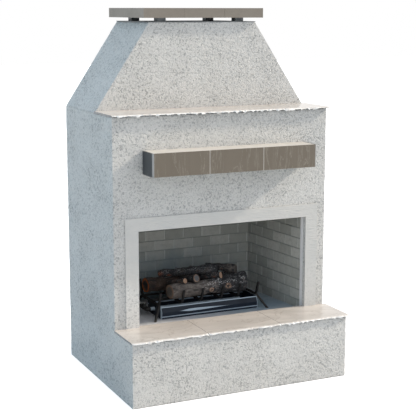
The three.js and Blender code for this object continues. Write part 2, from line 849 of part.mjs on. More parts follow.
// Burner pan: a folded sheet trough with a raked, creased front and a rim turned in
function burnerPan(group) {
  const back = panFront + panDepth;
  const half = panWidth / 2;
  const profile = (inset) => [
    [panFront + inset, inset],
    [panFront - panCreaseBulge + inset, panCreaseHeight],
    [panFront + panRake + inset, panHeight],
    [back - inset, panHeight],
    [back - inset, inset],
  ];
  const outer = toSolid(prismAlongX(profile(0), panWidth));
  const inner = toSolid(prismAlongX(profile(panSheet), panWidth - 2 * panSheet).translate(panSheet, 0, 0));
  const rimYs = [panFront + panRake + panRim, back - panRim];
  const rimTop = [panHeight - panSheet, panHeight + cutOverrun];
  const rimHole = boxBetween([panRim, panWidth - panRim], rimYs, rimTop);
  const ceiling = boxBetween([0, panWidth], [panFront, back], [panHeight - panSheet, panHeight + cutOverrun]);
  const cavity = inner.subtract(toSolid(ceiling)).add(toSolid(rimHole));
  const y = panFront + panDepth / 2;
  const inlet = cylinderBetween(
    vector(-cutOverrun, y, burnerHeight),
    vector(cutOverrun + panSheet, y, burnerHeight),
    burnerTubeDiameter + 2 * seatGap,
  );
  const pan = outer.subtract(cavity).subtract(toSolid(inlet));
  piece(group, "burner_pan", toGeometry(pan), "panSteel", -half, 0, floorTop);
}

// Burner tube with a row of ports and two feet. Its left end stands out of the pan to take the gas line.
function burnerTube(group) {
  const y = panFront + panDepth / 2;
  const left = -panWidth / 2 - burnerStub;
  const right = left + burnerStub + burnerLength;
  const ends = [vector(left, y, burnerHeight), vector(right, y, burnerHeight)];
  const solids = [cylinderBetween(...ends, burnerTubeDiameter)];
  const footHeight = [panSheet + seatGap, burnerHeight];
  for (const footShare of burnerFootShares) {
    const x = -panWidth / 2 + footShare * burnerLength;
    const xs = [x - burnerFootThickness / 2, x + burnerFootThickness / 2];
    solids.push(boxBetween(xs, [y - burnerFootWidth / 2, y + burnerFootWidth / 2], footHeight));
  }
  const ports = [];
  const top = burnerHeight + burnerTubeDiameter / 2;
  for (let i = 0; i < burnerPortCount; i += 1) {
    const x = -panWidth / 2 + ((i + 1) * burnerLength) / (burnerPortCount + 1);
    const low = vector(x, y, top - burnerPortDepth);
    ports.push(cylinderBetween(low, vector(x, y, top + cutOverrun), burnerPortDiameter, roundSides / 2));
  }
  const solid = join(solids).subtract(join(ports));
  piece(group, "burner_tube", toGeometry(solid), "brightSteel", 0, 0, floorTop);
}

// Corners of the gas line, from the burner's stub back, out through the left wall and down inside the housing
function pipeRun() {
  const y = panFront + panDepth / 2;
  const z = floorTop + burnerHeight;
  const start = vector(-panWidth / 2 - burnerStub - seatGap, y, z);
  const out = vector(-panWidth / 2 - pipeRunOut, y, z);
  const back = vector(out.x, y + pipeRunBack, z);
  const wall = vector(innerLeft + pipeWallClearance, back.y, z);
  const foot = vector(wall.x, wall.y, pipeFoot);
  return { start, out, back, wall, foot };
}

function elbow(corner, before, after) {
  const reach = elbowLength - elbowDiameter / 2;
  const arms = [before, after].map((other) => {
    const end = other.clone().sub(corner).setLength(reach).add(corner);
    return cylinderBetween(corner, end, elbowDiameter);
  });
  const knuckle = new THREE.SphereGeometry(elbowDiameter / 2, roundSides, roundSides / 2);
  return [...arms, knuckle.translate(corner.x, corner.y, corner.z)];
}

function gasPipe(group) {
  const run = pipeRun();
  const solids = [
    cylinderBetween(run.start, run.out, pipeDiameter),
    cylinderBetween(run.out, run.back, pipeDiameter),
    cylinderBetween(run.back, run.wall, pipeDiameter),
    cylinderBetween(run.wall, run.foot, pipeDiameter),
    ...elbow(run.out, run.start, run.back),
    ...elbow(run.back, run.out, run.wall),
    ...elbow(run.wall, run.back, run.foot),
  ];
  const stubFace = boxBetween([run.start.x, 0], [0, bodyDepth], [floorTop, openingTop]);
  piece(group, "gas_pipe", toGeometry(join(solids).subtract(toSolid(stubFace))), "blackSteel");
}

// Shut-off valve on the pipe. The lever stands across the pipe when the gas is off, and turns a quarter.
function gasValve(group) {
  const run = pipeRun();
  const x = run.out.x;
  const y = run.out.y + valveSetback;
  const z = run.out.z;
  const from = vector(x, y - valveBarrelLength / 2, z);
  const to = vector(x, y + valveBarrelLength / 2, z);
  const barrel = cylinderBetween(from, to, valveBarrelDiameter);
  const bonnetTop = z + valveBarrelDiameter / 2 + valveBonnetHeight;
  const bonnet = cylinderBetween(vector(x, y, z), vector(x, y, bonnetTop), valveBonnetDiameter);
  const overrun = vector(0, cutOverrun, 0);
  const bore = cylinderBetween(from.clone().sub(overrun), to.clone().add(overrun), pipeDiameter + 2 * seatGap);
  piece(group, "gas_valve", toGeometry(join([barrel, bonnet]).subtract(toSolid(bore))), "blackSteel");

  const hub = cylinderBetween(vector(0, 0, 0), vector(0, 0, stemHeight + leverThickness), stemDiameter);
  const tip = (leverTaperShare * leverWidth) / 2;
  const arm = [
    [stemDiameter / 2, -leverWidth / 2],
    [stemDiameter / 2, leverWidth / 2],
    [-leverLength, tip],
    [-leverLength, -tip],
  ];
  const blade = prismAlongZ(arm, leverThickness).translate(0, 0, stemHeight);
  piece(group, "gas_valve_lever", toGeometry(join([hub, blade])), "blackSteel", x, y, bonnetTop + seatGap);
}

function gasLine() {
  const group = new THREE.Group();
  burnerPan(group);
  burnerTube(group);
  gasPipe(group);
  gasValve(group);
  return group;
}

// One cradle bar of the grate: a finger, a level run under the logs and a rear finger, in one bent bar
function cradleBar(x) {
  const frontBend = vector(x, cradleFront, grateHeight);
  const backBend = vector(x, cradleBack, grateHeight);
  const frontTip = vector(x, cradleFront - fingerLean, grateHeight + fingerRise);
  const backTip = vector(x, cradleBack + rearFingerLean, grateHeight + rearFingerRise);
  const towards = (from, to) => to.clone().sub(from).setLength(bendReach).add(from);
  const path = new THREE.CurvePath();
  const a = towards(frontBend, frontTip);
  const b = towards(frontBend, backBend);
  const c = towards(backBend, frontBend);
  const d = towards(backBend, backTip);
  path.add(new THREE.LineCurve3(frontTip, a));
  path.add(new THREE.QuadraticBezierCurve3(a, frontBend, b));
  path.add(new THREE.LineCurve3(b, c));
  path.add(new THREE.QuadraticBezierCurve3(c, backBend, d));
  path.add(new THREE.LineCurve3(d, backTip));
  const half = barSize / 2;
  const section = new THREE.Shape(
    rectangle([-half, half], [-half, half]).map(([u, v]) => new THREE.Vector2(u, v)),
  );
  return new THREE.ExtrudeGeometry(section, { steps: barSteps, extrudePath: path });
}

function straightBar(from, to, size) {
  const geometry = new THREE.BoxGeometry(size, size, from.distanceTo(to));
  const along = to.clone().sub(from).normalize();
  geometry.applyQuaternion(new THREE.Quaternion().setFromUnitVectors(vector(0, 0, 1), along));
  const middle = from.clone().add(to).multiplyScalar(0.5);
  return geometry.translate(middle.x, middle.y, middle.z);
}

function grateLeg(side, y, depthSign) {
  const head = vector((side * grateSpan) / 2, y, grateHeight);
  const foot = vector(head.x + side * legSplaySide, y + depthSign * legSplayDepth, 0);
  const spare = foot.clone().sub(head).setLength(barSize).add(foot);
  return straightBar(head, spare, barSize);
}

function logGrate(group) {
  const bars = cradleShares.map((share) => cradleBar((share * grateSpan) / 2));
  for (const share of crossBarShares) {
    const y = THREE.MathUtils.lerp(cradleFront, cradleBack, share);
    const half = grateSpan / 2;
    bars.push(straightBar(vector(-half, y, grateHeight), vector(half, y, grateHeight), barSize));
  }
  for (const side of [-1, 1]) {
    bars.push(grateLeg(side, cradleFront, -1));
    bars.push(grateLeg(side, cradleBack, 1));
  }
  const reach = grateSpan + bodyDepth;
  const ground = boxBetween([-reach, reach], [-reach, reach], [-2 * barSize, 0]);
  piece(group, "log_grate", toGeometry(join(bars).subtract(toSolid(ground))), "blackSteel");
}

// A log lies along Y before it is placed. Its radius goes from one end to the other, its section swells and
// draws in as bark does, and a hollow end dips in by its own depth.
function logBody(log) {
  const profile = [new THREE.Vector2(0, log.hollow)];
  profile.push(new THREE.Vector2(log.radius[0] * rimShare, 0));
  for (let i = 0; i <= logRings; i += 1) {
    const along = i / logRings;
    const radius = THREE.MathUtils.lerp(log.radius[0], log.radius[1], along);
    const swell = 1 + swellShare * Math.sin(Math.PI * swellWaves * along + log.turn);
    profile.push(new THREE.Vector2(radius * swell, log.bevel + along * (log.length - 2 * log.bevel)));
  }
  profile.push(new THREE.Vector2(log.radius[1] * rimShare, log.length));
  profile.push(new THREE.Vector2(0, log.length));
  const geometry = new THREE.LatheGeometry(profile, logSides);
  const position = geometry.attributes.position;
  for (let i = 0; i < position.count; i += 1) {
    const x = position.getX(i);
    const z = position.getZ(i);
    const along = position.getY(i) / log.length;
    const angle = Math.atan2(z, x);
    const fineRidge = fineRidgeShare * Math.sin(fineRidgeCount * angle + ridgeTwist * along);
    const ridge = Math.sin(ridgeCount * angle + log.turn) + fineRidge;
    const round = 1 + barkShare * ridge;
    const bend = log.bow * Math.sin(Math.PI * along);
    const slant = slantShare * x * (1 - 2 * along);
    position.setXYZ(i, x * round + bend, position.getY(i) + slant, z * round);
  }
  return geometry;
}

// Short stub where a branch was cut off, at a share of the log's length and an angle round it
function knot(log, [share, angle, lean, radiusShare, heightShare]) {
  const surface = THREE.MathUtils.lerp(log.radius[0], log.radius[1], share);
  const radius = radiusShare * logRadius;
  const height = heightShare * logRadius + surface;
  const stub = new THREE.CylinderGeometry(radius * rimShare, radius, height, logSides / 2);
  stub.translate(0, height / 2, 0);
  stub.rotateZ(lean - Math.PI / 2);
  stub.rotateY(-angle);
  return stub.translate(log.bow * Math.sin(Math.PI * share), share * log.length, 0);
}

// The ends of each log as shares of half the grate's span and of the cradle's depth, its two end radii, hollow
// and bow as shares of the log radius, and its knots
const logShares = {
  front_log: {
    ends: [
      [-0.775, 0.159],
      [0.838, 0.21],
    ],
    radii: [0.794, 1],
    hollow: 0.044,
    bow: 0.088,
    turn: 0.4,
    knots: [
      [0.62, 1.1, 0.1, 0.309, 0.132],
      [0.8, 0.6, 0.25, 0.279, 0.176],
      [0.9, 3.9, 0.9, 0.353, 0.5],
    ],
  },
  rear_log: {
    ends: [
      [-1.036, 0.841],
      [0.882, 0.861],
    ],
    radii: [0.73, 0.72],
    hollow: 0.235,
    bow: 0.044,
    turn: 1.7,
    knots: [[0.42, 4.4, 0.2, 0.221, 0.118]],
  },
  twig_left: {
    ends: [
      [-0.455, 0.044],
      [-0.592, 0.698],
    ],
    radii: [0.25, 0.235],
    hollow: 0.015,
    bow: -0.088,
    turn: 0.9,
    knots: [],
  },
  middle_log: {
    ends: [
      [-0.208, 0.095],
      [-0.323, 0.712],
    ],
    radii: [0.35, 0.34],
    hollow: 0.015,
    bow: 0.044,
    turn: 2.6,
    knots: [],
  },
  twig_right: {
    ends: [
      [0.296, 0.095],
      [-0.038, 0.712],
    ],
    radii: [0.32, 0.29],
    hollow: 0.015,
    bow: 0.074,
    turn: 3.3,
    knots: [],
  },
  top_left_log: {
    ends: [
      [-0.701, 0.956],
      [0.285, 0.224],
    ],
    radii: [0.35, 0.37],
    hollow: 0.059,
    bow: 0.103,
    turn: 0.2,
    knots: [[0.3, 2.1, 0.3, 0.132, 0.103]],
  },
  top_right_log: {
    ends: [
      [0.121, 0.936],
      [0.718, 0.353],
    ],
    radii: [0.33, 0.52],
    hollow: 0.029,
    bow: -0.059,
    turn: 1.2,
    knots: [[0.55, 5.2, 0.2, 0.147, 0.103]],
  },
};

// Every log starts level, clear above the two large ones
function logEnds(name) {
  const start = barTop + stackShare * logRadius;
  return logShares[name].ends.map(([across, back]) => {
    const y = cradleFront + back * (cradleBack - cradleFront);
    return vector((across * grateSpan) / 2, y, start);
  });
}

function logGeometry(name, ends) {
  const shares = logShares[name];
  const radius = shares.radii.map((share) => share * logRadius);
  const log = {
    radius,
    length: ends[0].distanceTo(ends[1]),
    hollow: shares.hollow * logRadius,
    bow: shares.bow * logRadius,
    turn: shares.turn,
    bevel: bevelShare * radius[0],
  };
  const stubs = shares.knots.map((values) => knot(log, values));
  return toGeometry(join([logBody(log), ...stubs]));
}

function placement(ends) {
  const along = ends[1].clone().sub(ends[0]).normalize();
  const turn = new THREE.Quaternion().setFromUnitVectors(vector(0, 1, 0), along);
  return new THREE.Matrix4().compose(ends[0], turn, vector(1, 1, 1));
}

// Lowers a log at one tilt until it touches what lies under it, and gives the height of its middle
function drop(ends, touches, from, tilt) {
  let height = from;
  let step = dropStep;
  const set = (z) => {
    ends[0].z = z + tilt / 2;
    ends[1].z = z - tilt / 2;
  };
  while (step > settleStep && height > 0) {
    set(height - step);
    if (touches()) step /= 2;
    else height -= step;
  }
  set(height);
  return height;
}

// Lays a log down at the tilt that lets its middle sink the lowest, where it rests on two supports
function settle(geometry, ends, supports) {
  const touches = () => {
    const solid = toSolid(geometry.clone().applyMatrix4(placement(ends)));
    return supports.some((support) => solid.intersect(support).volume() > touchVolume);
  };
  let tilt = 0;
  let lowest = drop(ends, touches, ends[0].z, tilt);
  for (let step = tiltStep; step > tiltTolerance; step /= 2) {
    for (const next of [tilt - step, tilt + step]) {
      const height = drop(ends, touches, lowest + step, next);
      if (height < lowest) {
        lowest = height;
        tilt = next;
      }
    }
  }
  drop(ends, touches, lowest + tiltTolerance, tilt);
  for (const end of ends) end.z += logGap;
}

function addLog(group, name, supportNames, finishName) {
  const ends = logEnds(name);
  const geometry = logGeometry(name, ends);
  const supports = supportNames.map((other) => {
    const mesh = group.getObjectByName(other);
    mesh.updateMatrix();
    return toSolid(mesh.geometry.clone().applyMatrix4(mesh.matrix));
  });
  settle(geometry, ends, supports);
  const mesh = piece(group, name, geometry, finishName);
  placement(ends).decompose(mesh.position, mesh.quaternion, mesh.scale);
}

// Grate with the logs stacked on it, in its own group that stands on the firebox floor
function fire() {
  const group = new THREE.Group();
  group.position.z = floorTop;
  logGrate(group);
  addLog(group, "front_log", ["log_grate"], "bark");
  addLog(group, "rear_log", ["log_grate"], "bark");
  const large = ["log_grate", "front_log", "rear_log"];
  addLog(group, "twig_left", large, "char");
  addLog(group, "middle_log", large, "char");
  addLog(group, "twig_right", large, "char");
  const lower = [...large, "twig_left", "middle_log", "twig_right"];
  addLog(group, "top_right_log", lower, "char");
  addLog(group, "top_left_log", [...lower, "top_right_log"], "char");
  return group;
}

// The whole fireplace, moved so that the middle of its base is the origin
const fireplace = new THREE.Group();
const frame = new THREE.Group();
steelFrame(frame);
fireplace.add(frame, walls(), slabs(), mantel(), hood(), cap(), firebox(), gasLine(), fire());
const frontReach = hearthReach + hearthOverhang;
const backReach = bodyDepth + capOverhangDepth;
fireplace.position.set(-trimCentre, (frontReach - backReach) / 2, 0);
fireplace.updateMatrixWorld(true);

export default fireplace;
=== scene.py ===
"""Dresses the packed outdoor fireplace: stucco coats, stone slabs, logs, and a finish for every part."""

import itertools
import math

import bmesh
import bpy
import numpy as np
from mathutils import Euler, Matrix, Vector


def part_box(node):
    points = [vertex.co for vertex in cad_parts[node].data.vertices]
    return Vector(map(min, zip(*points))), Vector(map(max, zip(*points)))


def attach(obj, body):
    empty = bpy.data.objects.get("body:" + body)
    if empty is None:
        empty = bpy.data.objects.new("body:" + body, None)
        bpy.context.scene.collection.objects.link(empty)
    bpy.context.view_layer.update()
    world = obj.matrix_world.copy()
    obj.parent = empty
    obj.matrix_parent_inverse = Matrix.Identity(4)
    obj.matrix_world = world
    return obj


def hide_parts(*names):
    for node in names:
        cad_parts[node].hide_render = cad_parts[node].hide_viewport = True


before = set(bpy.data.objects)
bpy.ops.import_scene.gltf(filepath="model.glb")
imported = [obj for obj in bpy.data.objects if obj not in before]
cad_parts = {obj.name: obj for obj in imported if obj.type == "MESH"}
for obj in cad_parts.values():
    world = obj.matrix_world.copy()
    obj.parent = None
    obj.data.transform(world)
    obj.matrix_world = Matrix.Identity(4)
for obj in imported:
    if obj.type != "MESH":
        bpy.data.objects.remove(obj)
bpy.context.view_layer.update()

bl_info = {
    "name": "Outdoor fireplace dressing",
    "version": (1, 0, 0),
    "blender": (4, 5, 0),
    "location": "View3D > Sidebar > Fireplace",
    "description": "Stucco, stone, tile, brick, steel and log finishes for an outdoor fireplace",
    "category": "Object",
}

# Sizes and colours

WHITE = (1.0, 1.0, 1.0, 1.0)
GREY = (0.5, 0.5, 0.5, 1.0)
EVEN = (1.0, 1.0, 1.0)
SIDES = ("left", "right")

# The camera, solved from the photograph's edges. Lens and sensor are in millimetres, the place is in metres,
# and the turns are in degrees.
LENS, SENSOR = 94.66, 36.0
CAMERA_PLACE = (-3.0779, -6.6168, 2.4355)
CAMERA_TURNS = (79.6587, -0.0738, -25.1008)
# The way that the key lamp shines, from the photograph's shadows, and the way towards the brightest fill.
LAMP_WAY = (-6.25, 1.0, -4.07)
FILL_WAY = (0.2, -0.74, 0.64)
# The floor: half its width, how far it lies under the walls, its two tones, and the glow that makes it white
# to the camera.
FLOOR_REACH, FLOOR_GAP = 40.0, 0.0008
FLOOR_TONES = (0.58, 0.61)
FLOOR_GLOW = 0.72

# Each brick panel: the axis that its courses run along, its first upright joint, and its own number.
BRICK_PANELS = {
    "firebox_back_wall": ("X", 0.02482, 1.0),
    "firebox_left_wall": ("Y", -0.2027, 2.0),
    "firebox_right_wall": ("Y", 0.3747, 3.0),
}


def picked(red, green, blue):
    """The linear colour of a colour picker's red, green and blue, from 0 to 255."""
    shares = [value / 255 for value in (red, green, blue)]
    linear = [s / 12.92 if s <= 0.04045 else ((s + 0.055) / 1.055) ** 2.4 for s in shares]
    return (*linear, 1.0)


def dimmed(rgba, factor):
    """A colour made darker or lighter by a factor."""
    return (*(min(value * factor, 1.0) for value in rgba[:3]), 1.0)


def colour(name, description, red, green, blue):
    """A colour that a user can change."""
    return bpy.props.FloatVectorProperty(
        name=name,
        description=description,
        default=picked(red, green, blue),
        size=4,
        subtype="COLOR",
        min=0.0,
        max=1.0,
    )


def length(name, description, default):
    """A length in metres that a user can change."""
    return bpy.props.FloatProperty(
        name=name,
        description=description,
        default=default,
        min=0.0,
        unit="LENGTH",
        subtype="DISTANCE",
        precision=4,
    )


class StuccoSettings(bpy.types.PropertyGroup):
    """The dashed stucco of the walls and the hood"""

    wall: colour("Stucco", "Colour of the stucco", 217, 217, 214)
    # Painted shade for the low pits between the dashes.
    pit_shade: colour("Flecks", "Colour of the pits between the dashes", 128, 132, 133)
    grid: length("Grid", "Spacing of the coat's mesh", 0.008)
    coarse_grid: length("Coarse grid", "Spacing across the back and the right side", 0.014)
    relief: length("Relief", "How deep the trowelled coat varies", 0.0024)
    dash: length("Dash", "Size of one thrown dash of stucco", 0.0132)
    rim: length("Rim", "How far a coat turns in at a free edge", 0.022)


class StoneSettings(bpy.types.PropertyGroup):
    """The cream stone of the hearth and the ledge"""

    slab: colour("Stone", "Colour of the honed stone", 195, 188, 181)
    vein: colour("Veins", "Colour of the brown veins", 158, 146, 134)
    # Near white: the paler broken stone, and partly painted highlight where the chips catch the light.
    broken_and_highlit: colour("Broken edge", "Colour of the freshly broken edge", 246, 246, 244)
    # Painted shade: the dark colour on the slabs' ends and under the chipped lip.
    painted_shade: colour("Bed", "Colour of the sawn ends and the bed below", 82, 86, 90)
    chip: length("Chips", "How deep the front edge is chipped", 0.017)
    station: length("Station", "Spacing of the cuts along a slab", 0.003)


class TileSettings(bpy.types.PropertyGroup):
    """The porcelain tiles of the mantel and the cap"""

    face: colour("Mantel tile", "Colour of the mantel's front tiles", 109, 100, 87)
    # The end tile colour is the mantel tile darkened and blued: painted shade on the shaded ends.
    end: colour("End tile", "Colour of the mantel's end tiles", 60, 65, 69)
    crown: colour("Cap tile", "Colour of the cap's tiles", 131, 124, 114)
    vein: colour("Veins", "Colour of the fine veins", 150, 143, 132)
    top: colour("Top tile", "Colour of the mantel's top tile and its grout", 206, 201, 193)
    board: colour("Board", "Colour of the cement board behind the tiles", 168, 168, 164)


class PlasterSettings(bpy.types.PropertyGroup):
    """The smooth plaster round the opening"""

    face: colour("Plaster", "Colour of the plaster", 207, 206, 202)
    mark: colour("Trowel marks", "Colour of the trowel marks", 196, 198, 196)
    splash: length("Splashes", "Height up to which stucco has splashed it", 0.72)


class BrickSettings(bpy.types.PropertyGroup):
    """The brick pattern panels and the floor of the firebox"""

    brick: colour("Brick", "Colour of a plain brick", 170, 171, 164)
    pale: colour("Pale brick", "Colour of the palest bricks", 192, 192, 185)
    joint: colour("Level joint", "Colour of the level joints", 162, 164, 160)
    head: colour("Upright joint", "Colour of the upright joints", 212, 214, 209)
    # Partly soot, partly painted shade; its blue tint is painted skylight.
    soot_and_shade: colour("Soot", "Colour of the soot above the logs", 98, 132, 150)
    floor: colour("Floor", "Colour of the firebox floor", 200, 202, 206)
    pitch: length("Pitch", "Length of one brick with its joint", 0.146)
    course: length("Course", "Height of one course of bricks", 0.0723)
    first_course: length("First course", "Height of the first joint above the floor", 0.058)


class SteelSettings(bpy.types.PropertyGroup):
    """The metal parts"""

    pan: colour("Burner pan", "Colour of the blued steel", 25, 36, 50)
    # Painted highlight colour for the pan's rim, folds and rib; it also gives the burner tube a painted
    # reflection.
    painted_glint: colour("Bright folds", "Colour of the pan's folds, where the blueing is rubbed", 176, 192, 204)
    black: colour("Black paint", "Colour of the grate's paint", 13, 13, 14)
    bare: colour("Bare steel", "Colour of the bare steel", 188, 189, 187)
    zinc: colour("Zinc", "Colour of the galvanised steel", 176, 180, 182)
    trim: colour("Trim", "Colour of the coated trims", 224, 226, 226)
    rust: colour("Rust", "Colour of the light rust", 96, 62, 42)


class LogSettings(bpy.types.PropertyGroup):
    """The cast logs"""

    bark: colour("Bark", "Colour of the brown bark", 126, 118, 112)
    dark: colour("Dark bark", "Colour of the darkest brown bark", 78, 64, 56)
    char: colour("Char", "Colour of the charred bark", 33, 35, 39)
    # Partly ash, partly painted highlight and sheen on the ridges and scales.
    ash: colour("Ash", "Colour of the ash on the ridges", 146, 150, 155)
    wood: colour("Wood", "Colour of the sawn ends", 186, 152, 128)
    ember: colour("Ember", "Colour of the burnt orange patches", 178, 96, 46)
    voxel: length("Detail", "Size of the cells that the bark is made in", 0.0034)
    depth: length("Bark depth", "How deep the bark's furrows are", 0.0035)
    gnarl: length("Gnarl", "How far the bark swells and draws in", 0.0042)


class StageSettings(bpy.types.PropertyGroup):
    """The floor, the lamps and the camera"""

    key: bpy.props.FloatProperty(
        name="Key lamp", description="Strength of the low lamp from the right", default=3.55, min=0.0
    )
    lamp: colour("Key colour", "Colour of the low lamp", 255, 242, 224)
    softness: bpy.props.FloatProperty(
        name="Softness", description="How wide the key lamp looks", default=0.07, min=0.0, subtype="ANGLE"
    )
    fill: bpy.props.FloatProperty(
        name="Fill", description="Strength of the light from all round", default=0.935, min=0.0
    )
    sky: colour("Fill colour behind", "Colour of the light from the sides and behind", 130, 206, 245)
    ahead: colour("Fill colour ahead", "Colour of the light from ahead and above", 250, 250, 255)


GROUPS = {
    "fireplace_stucco": StuccoSettings,
    "fireplace_stone": StoneSettings,
    "fireplace_tile": TileSettings,
    "fireplace_plaster": PlasterSettings,
    "fireplace_brick": BrickSettings,
    "fireplace_steel": SteelSettings,
    "fireplace_log": LogSettings,
    "fireplace_stage": StageSettings,
}

# Node trees and shared effects


class Wires:
    """Short ways to add and link the nodes of one tree."""

    def __init__(self, tree):
        self.tree = tree

    def feed(self, socket, value):
        """Links a socket, or sets its plain value."""
        if isinstance(value, bpy.types.NodeSocket):
            self.tree.links.new(value, socket)
        else:
            socket.default_value = value

    def node(self, kind, inputs=None, **settings):
        """A node with its settings and inputs."""
        made = self.tree.nodes.new(kind)
        for name, value in settings.items():
            setattr(made, name, value)
        for key, value in (inputs or {}).items():
            self.feed(made.inputs[key], value)
        return made

    def maths(self, operation, *values, clamp=False):
        """The result of one sum."""
        made = self.node("ShaderNodeMath", operation=operation, use_clamp=clamp)
        for socket, value in zip(made.inputs, values):
            self.feed(socket, value)
        return made.outputs[0]

    def times(self, first, *others):
        """The product of two or more values."""
        for value in others:
            first = self.maths("MULTIPLY", first, value)
        return first

    def highest(self, first, *others):
        """The highest of two or more values."""
        for value in others:
            first = self.maths("MAXIMUM", first, value)
        return first

    def minus(self, first, second):
        """One value less another."""
        return self.maths("SUBTRACT", first, second)

    def apart(self, first, second):
        """How far two values are from each other."""
        return self.maths("ABSOLUTE", self.minus(first, second))

    def sloped(self, value, slope, start, clamp=False):
        """A value times a slope, plus a start."""
        return self.maths("MULTIPLY_ADD", value, slope, start, clamp=clamp)

    def vector(self, operation, *values, result="Vector"):
        """The result of one sum of vectors."""
        made = self.node("ShaderNodeVectorMath", operation=operation)
        for socket, value in zip(made.inputs, values):
            self.feed(socket, value)
        return made.outputs[result]

    def blend(self, factor, first, second):
        """One colour laid over another."""
        made = self.node("ShaderNodeMix", data_type="RGBA", blend_type="MIX")
        for place, value in ((0, factor), (6, first), (7, second)):
            self.feed(made.inputs[place], value)
        return made.outputs[2]

    def ramp(self, value, low, high, bottom=0.0, top=1.0):
        """A soft step from bottom to top while the value goes from low to high."""
        made = self.node(
            "ShaderNodeMapRange",
            {"Value": value, "From Min": low, "From Max": high, "To Min": bottom, "To Max": top},
            interpolation_type="SMOOTHSTEP",
        )
        return made.outputs["Result"]

    def point(self):
        """The point on the piece, in metres."""
        return self.node("ShaderNodeTexCoord").outputs["Object"]

    def stretched(self, stretch):
        """The point on the piece, stretched along its axes."""
        return self.vector("MULTIPLY", self.point(), stretch)

    def parts(self, vector):
        """The X, Y and Z of a vector."""
        return self.node("ShaderNodeSeparateXYZ", {"Vector": vector}).outputs

    def normal(self):
        """The way that the surface faces."""
        return self.node("ShaderNodeNewGeometry").outputs["Normal"]

    def mark(self, name):
        """A value that is kept on the points of a piece."""
        return self.node("ShaderNodeAttribute", attribute_name=name).outputs["Fac"]

    def noise(self, point, scale, detail, roughness, warp=0.0):
        """Cloudy noise from 0 to 1."""
        made = self.node(
            "ShaderNodeTexNoise",
            {"Vector": point, "Scale": scale, "Detail": detail, "Roughness": roughness, "Distortion": warp},
        )
        return made.outputs["Fac"]

    def cell_walls(self, point, scale):
        """The distance to the walls of random cells."""
        made = self.node(
            "ShaderNodeTexVoronoi", {"Vector": point, "Scale": scale}, feature="DISTANCE_TO_EDGE"
        )
        return made.outputs["Distance"]

    def effect(self, name, inputs):
        """A shared effect placed with its own values."""
        made = self.node("ShaderNodeGroup", node_tree=bpy.data.node_groups[name])
        for key, value in inputs.items():
            self.feed(made.inputs[key], value)
        return made

    def seen_rays(self):
        """1 for the rays that see the background itself: the camera's, and those of gloss and glass."""
        ray = self.node("ShaderNodeLightPath").outputs
        return self.highest(ray["Is Camera Ray"], ray["Is Glossy Ray"], ray["Is Transmission Ray"])


def shared_effect(name, build, outputs, inputs):
    """A shader node group with named sockets, built once. The kind of an input follows its first value."""
    group = bpy.data.node_groups.new(name, "ShaderNodeTree")
    for label, value in inputs.items():
        kind = {3: "Vector", 4: "Color"}[len(value)] if isinstance(value, tuple) else "Float"
        socket = group.interface.new_socket(label, in_out="INPUT", socket_type="NodeSocket" + kind)
        socket.default_value = value
    for label, kind in outputs.items():
        group.interface.new_socket(label, in_out="OUTPUT", socket_type="NodeSocket" + kind)
    wires = Wires(group)
    made = build(wires, group.nodes.new("NodeGroupInput").outputs)
    out = group.nodes.new("NodeGroupOutput")
    for label, value in made.items():
        wires.feed(out.inputs[label], value)


def dash_grain(wires, given):
    """Thrown dashes of stucco: lumps with painted shade in the low pits between them, and smoother patches.
    """
    point = wires.point()
    size = wires.maths("DIVIDE", 1.0, given["Dash"])
    lump = wires.noise(point, size, 3.0, 0.58, 0.9)
    fine = wires.noise(point, wires.times(size, 2.7), 3.0, 0.6)
    patch = wires.ramp(wires.noise(point, 5.0, 3.0, 0.55), 0.36, 0.62, 0.65, 1.0)
    # Painted shade: the low places of the lumps, which are also low in the relief, are darkened.
    painted_pit_shade = wires.times(wires.ramp(lump, 0.48, 0.38), patch, given["Flecks"])
    base = wires.blend(painted_pit_shade, given["Colour"], given["Fleck Colour"])
    cloud = wires.ramp(wires.noise(point, 1.7, 3.0, 0.6), 0.3, 0.7, -0.03, 0.03)
    speckle = wires.sloped(wires.minus(fine, 0.5), 0.55, 1.0)
    toned = wires.node("ShaderNodeVectorMath", operation="SCALE")
    wires.feed(toned.inputs[0], base)
    wires.feed(toned.inputs["Scale"], wires.maths("ADD", speckle, cloud))
    return {"Color": toned.outputs[0], "Height": wires.sloped(fine, 0.3, wires.times(lump, patch))}


def veining(wires, given):
    """Veins of stone or printed porcelain, drawn out along one direction."""
    point = wires.stretched(given["Stretch"])
    clouds = wires.ramp(wires.noise(point, given["Scale"], 4.0, 0.6, 1.2), 0.32, 0.68)
    course = wires.noise(point, wires.times(given["Scale"], 0.7), 6.0, 0.62, 2.2)
    vein = wires.ramp(wires.apart(course, 0.5), given["Width"], 0.0)
    base = wires.blend(wires.times(clouds, given["Clouds"]), given["Colour"], given["Cloud Colour"])
    made = wires.blend(wires.times(vein, given["Strength"]), base, given["Vein Colour"])
    return {"Color": made, "Clouds": clouds}


def brick_tones(wires, given):
    """A tone for each brick of a running bond, and masks of its joints."""
    up = wires.maths("DIVIDE", wires.minus(given["Up"], given["First Course"]), given["Course"])
    row = wires.maths("FLOOR", up)
    rows_below = 41.0  # an odd number that keeps the count above zero
    odd = wires.maths("MODULO", wires.maths("ADD", row, rows_below), 2.0)
    along = wires.maths("DIVIDE", wires.minus(given["Along"], given["First Joint"]), given["Pitch"])
    along = wires.sloped(odd, -0.5, along)
    column = wires.maths("FLOOR", along)
    cell = wires.node("ShaderNodeCombineXYZ", {"X": column, "Y": row, "Z": given["Wall"]}).outputs[0]
    tone = wires.node("ShaderNodeTexWhiteNoise", {"Vector": cell}, noise_dimensions="3D").outputs["Value"]
    aside = wires.times(wires.maths("PINGPONG", along, 0.5), given["Pitch"])
    above = wires.times(wires.maths("PINGPONG", up, 0.5), given["Course"])
    return {
        "Tone": tone,
        "Level Joint": wires.ramp(above, 0.0045, 0.0025),
        "Upright Joint": wires.ramp(aside, 0.0055, 0.0025),
    }


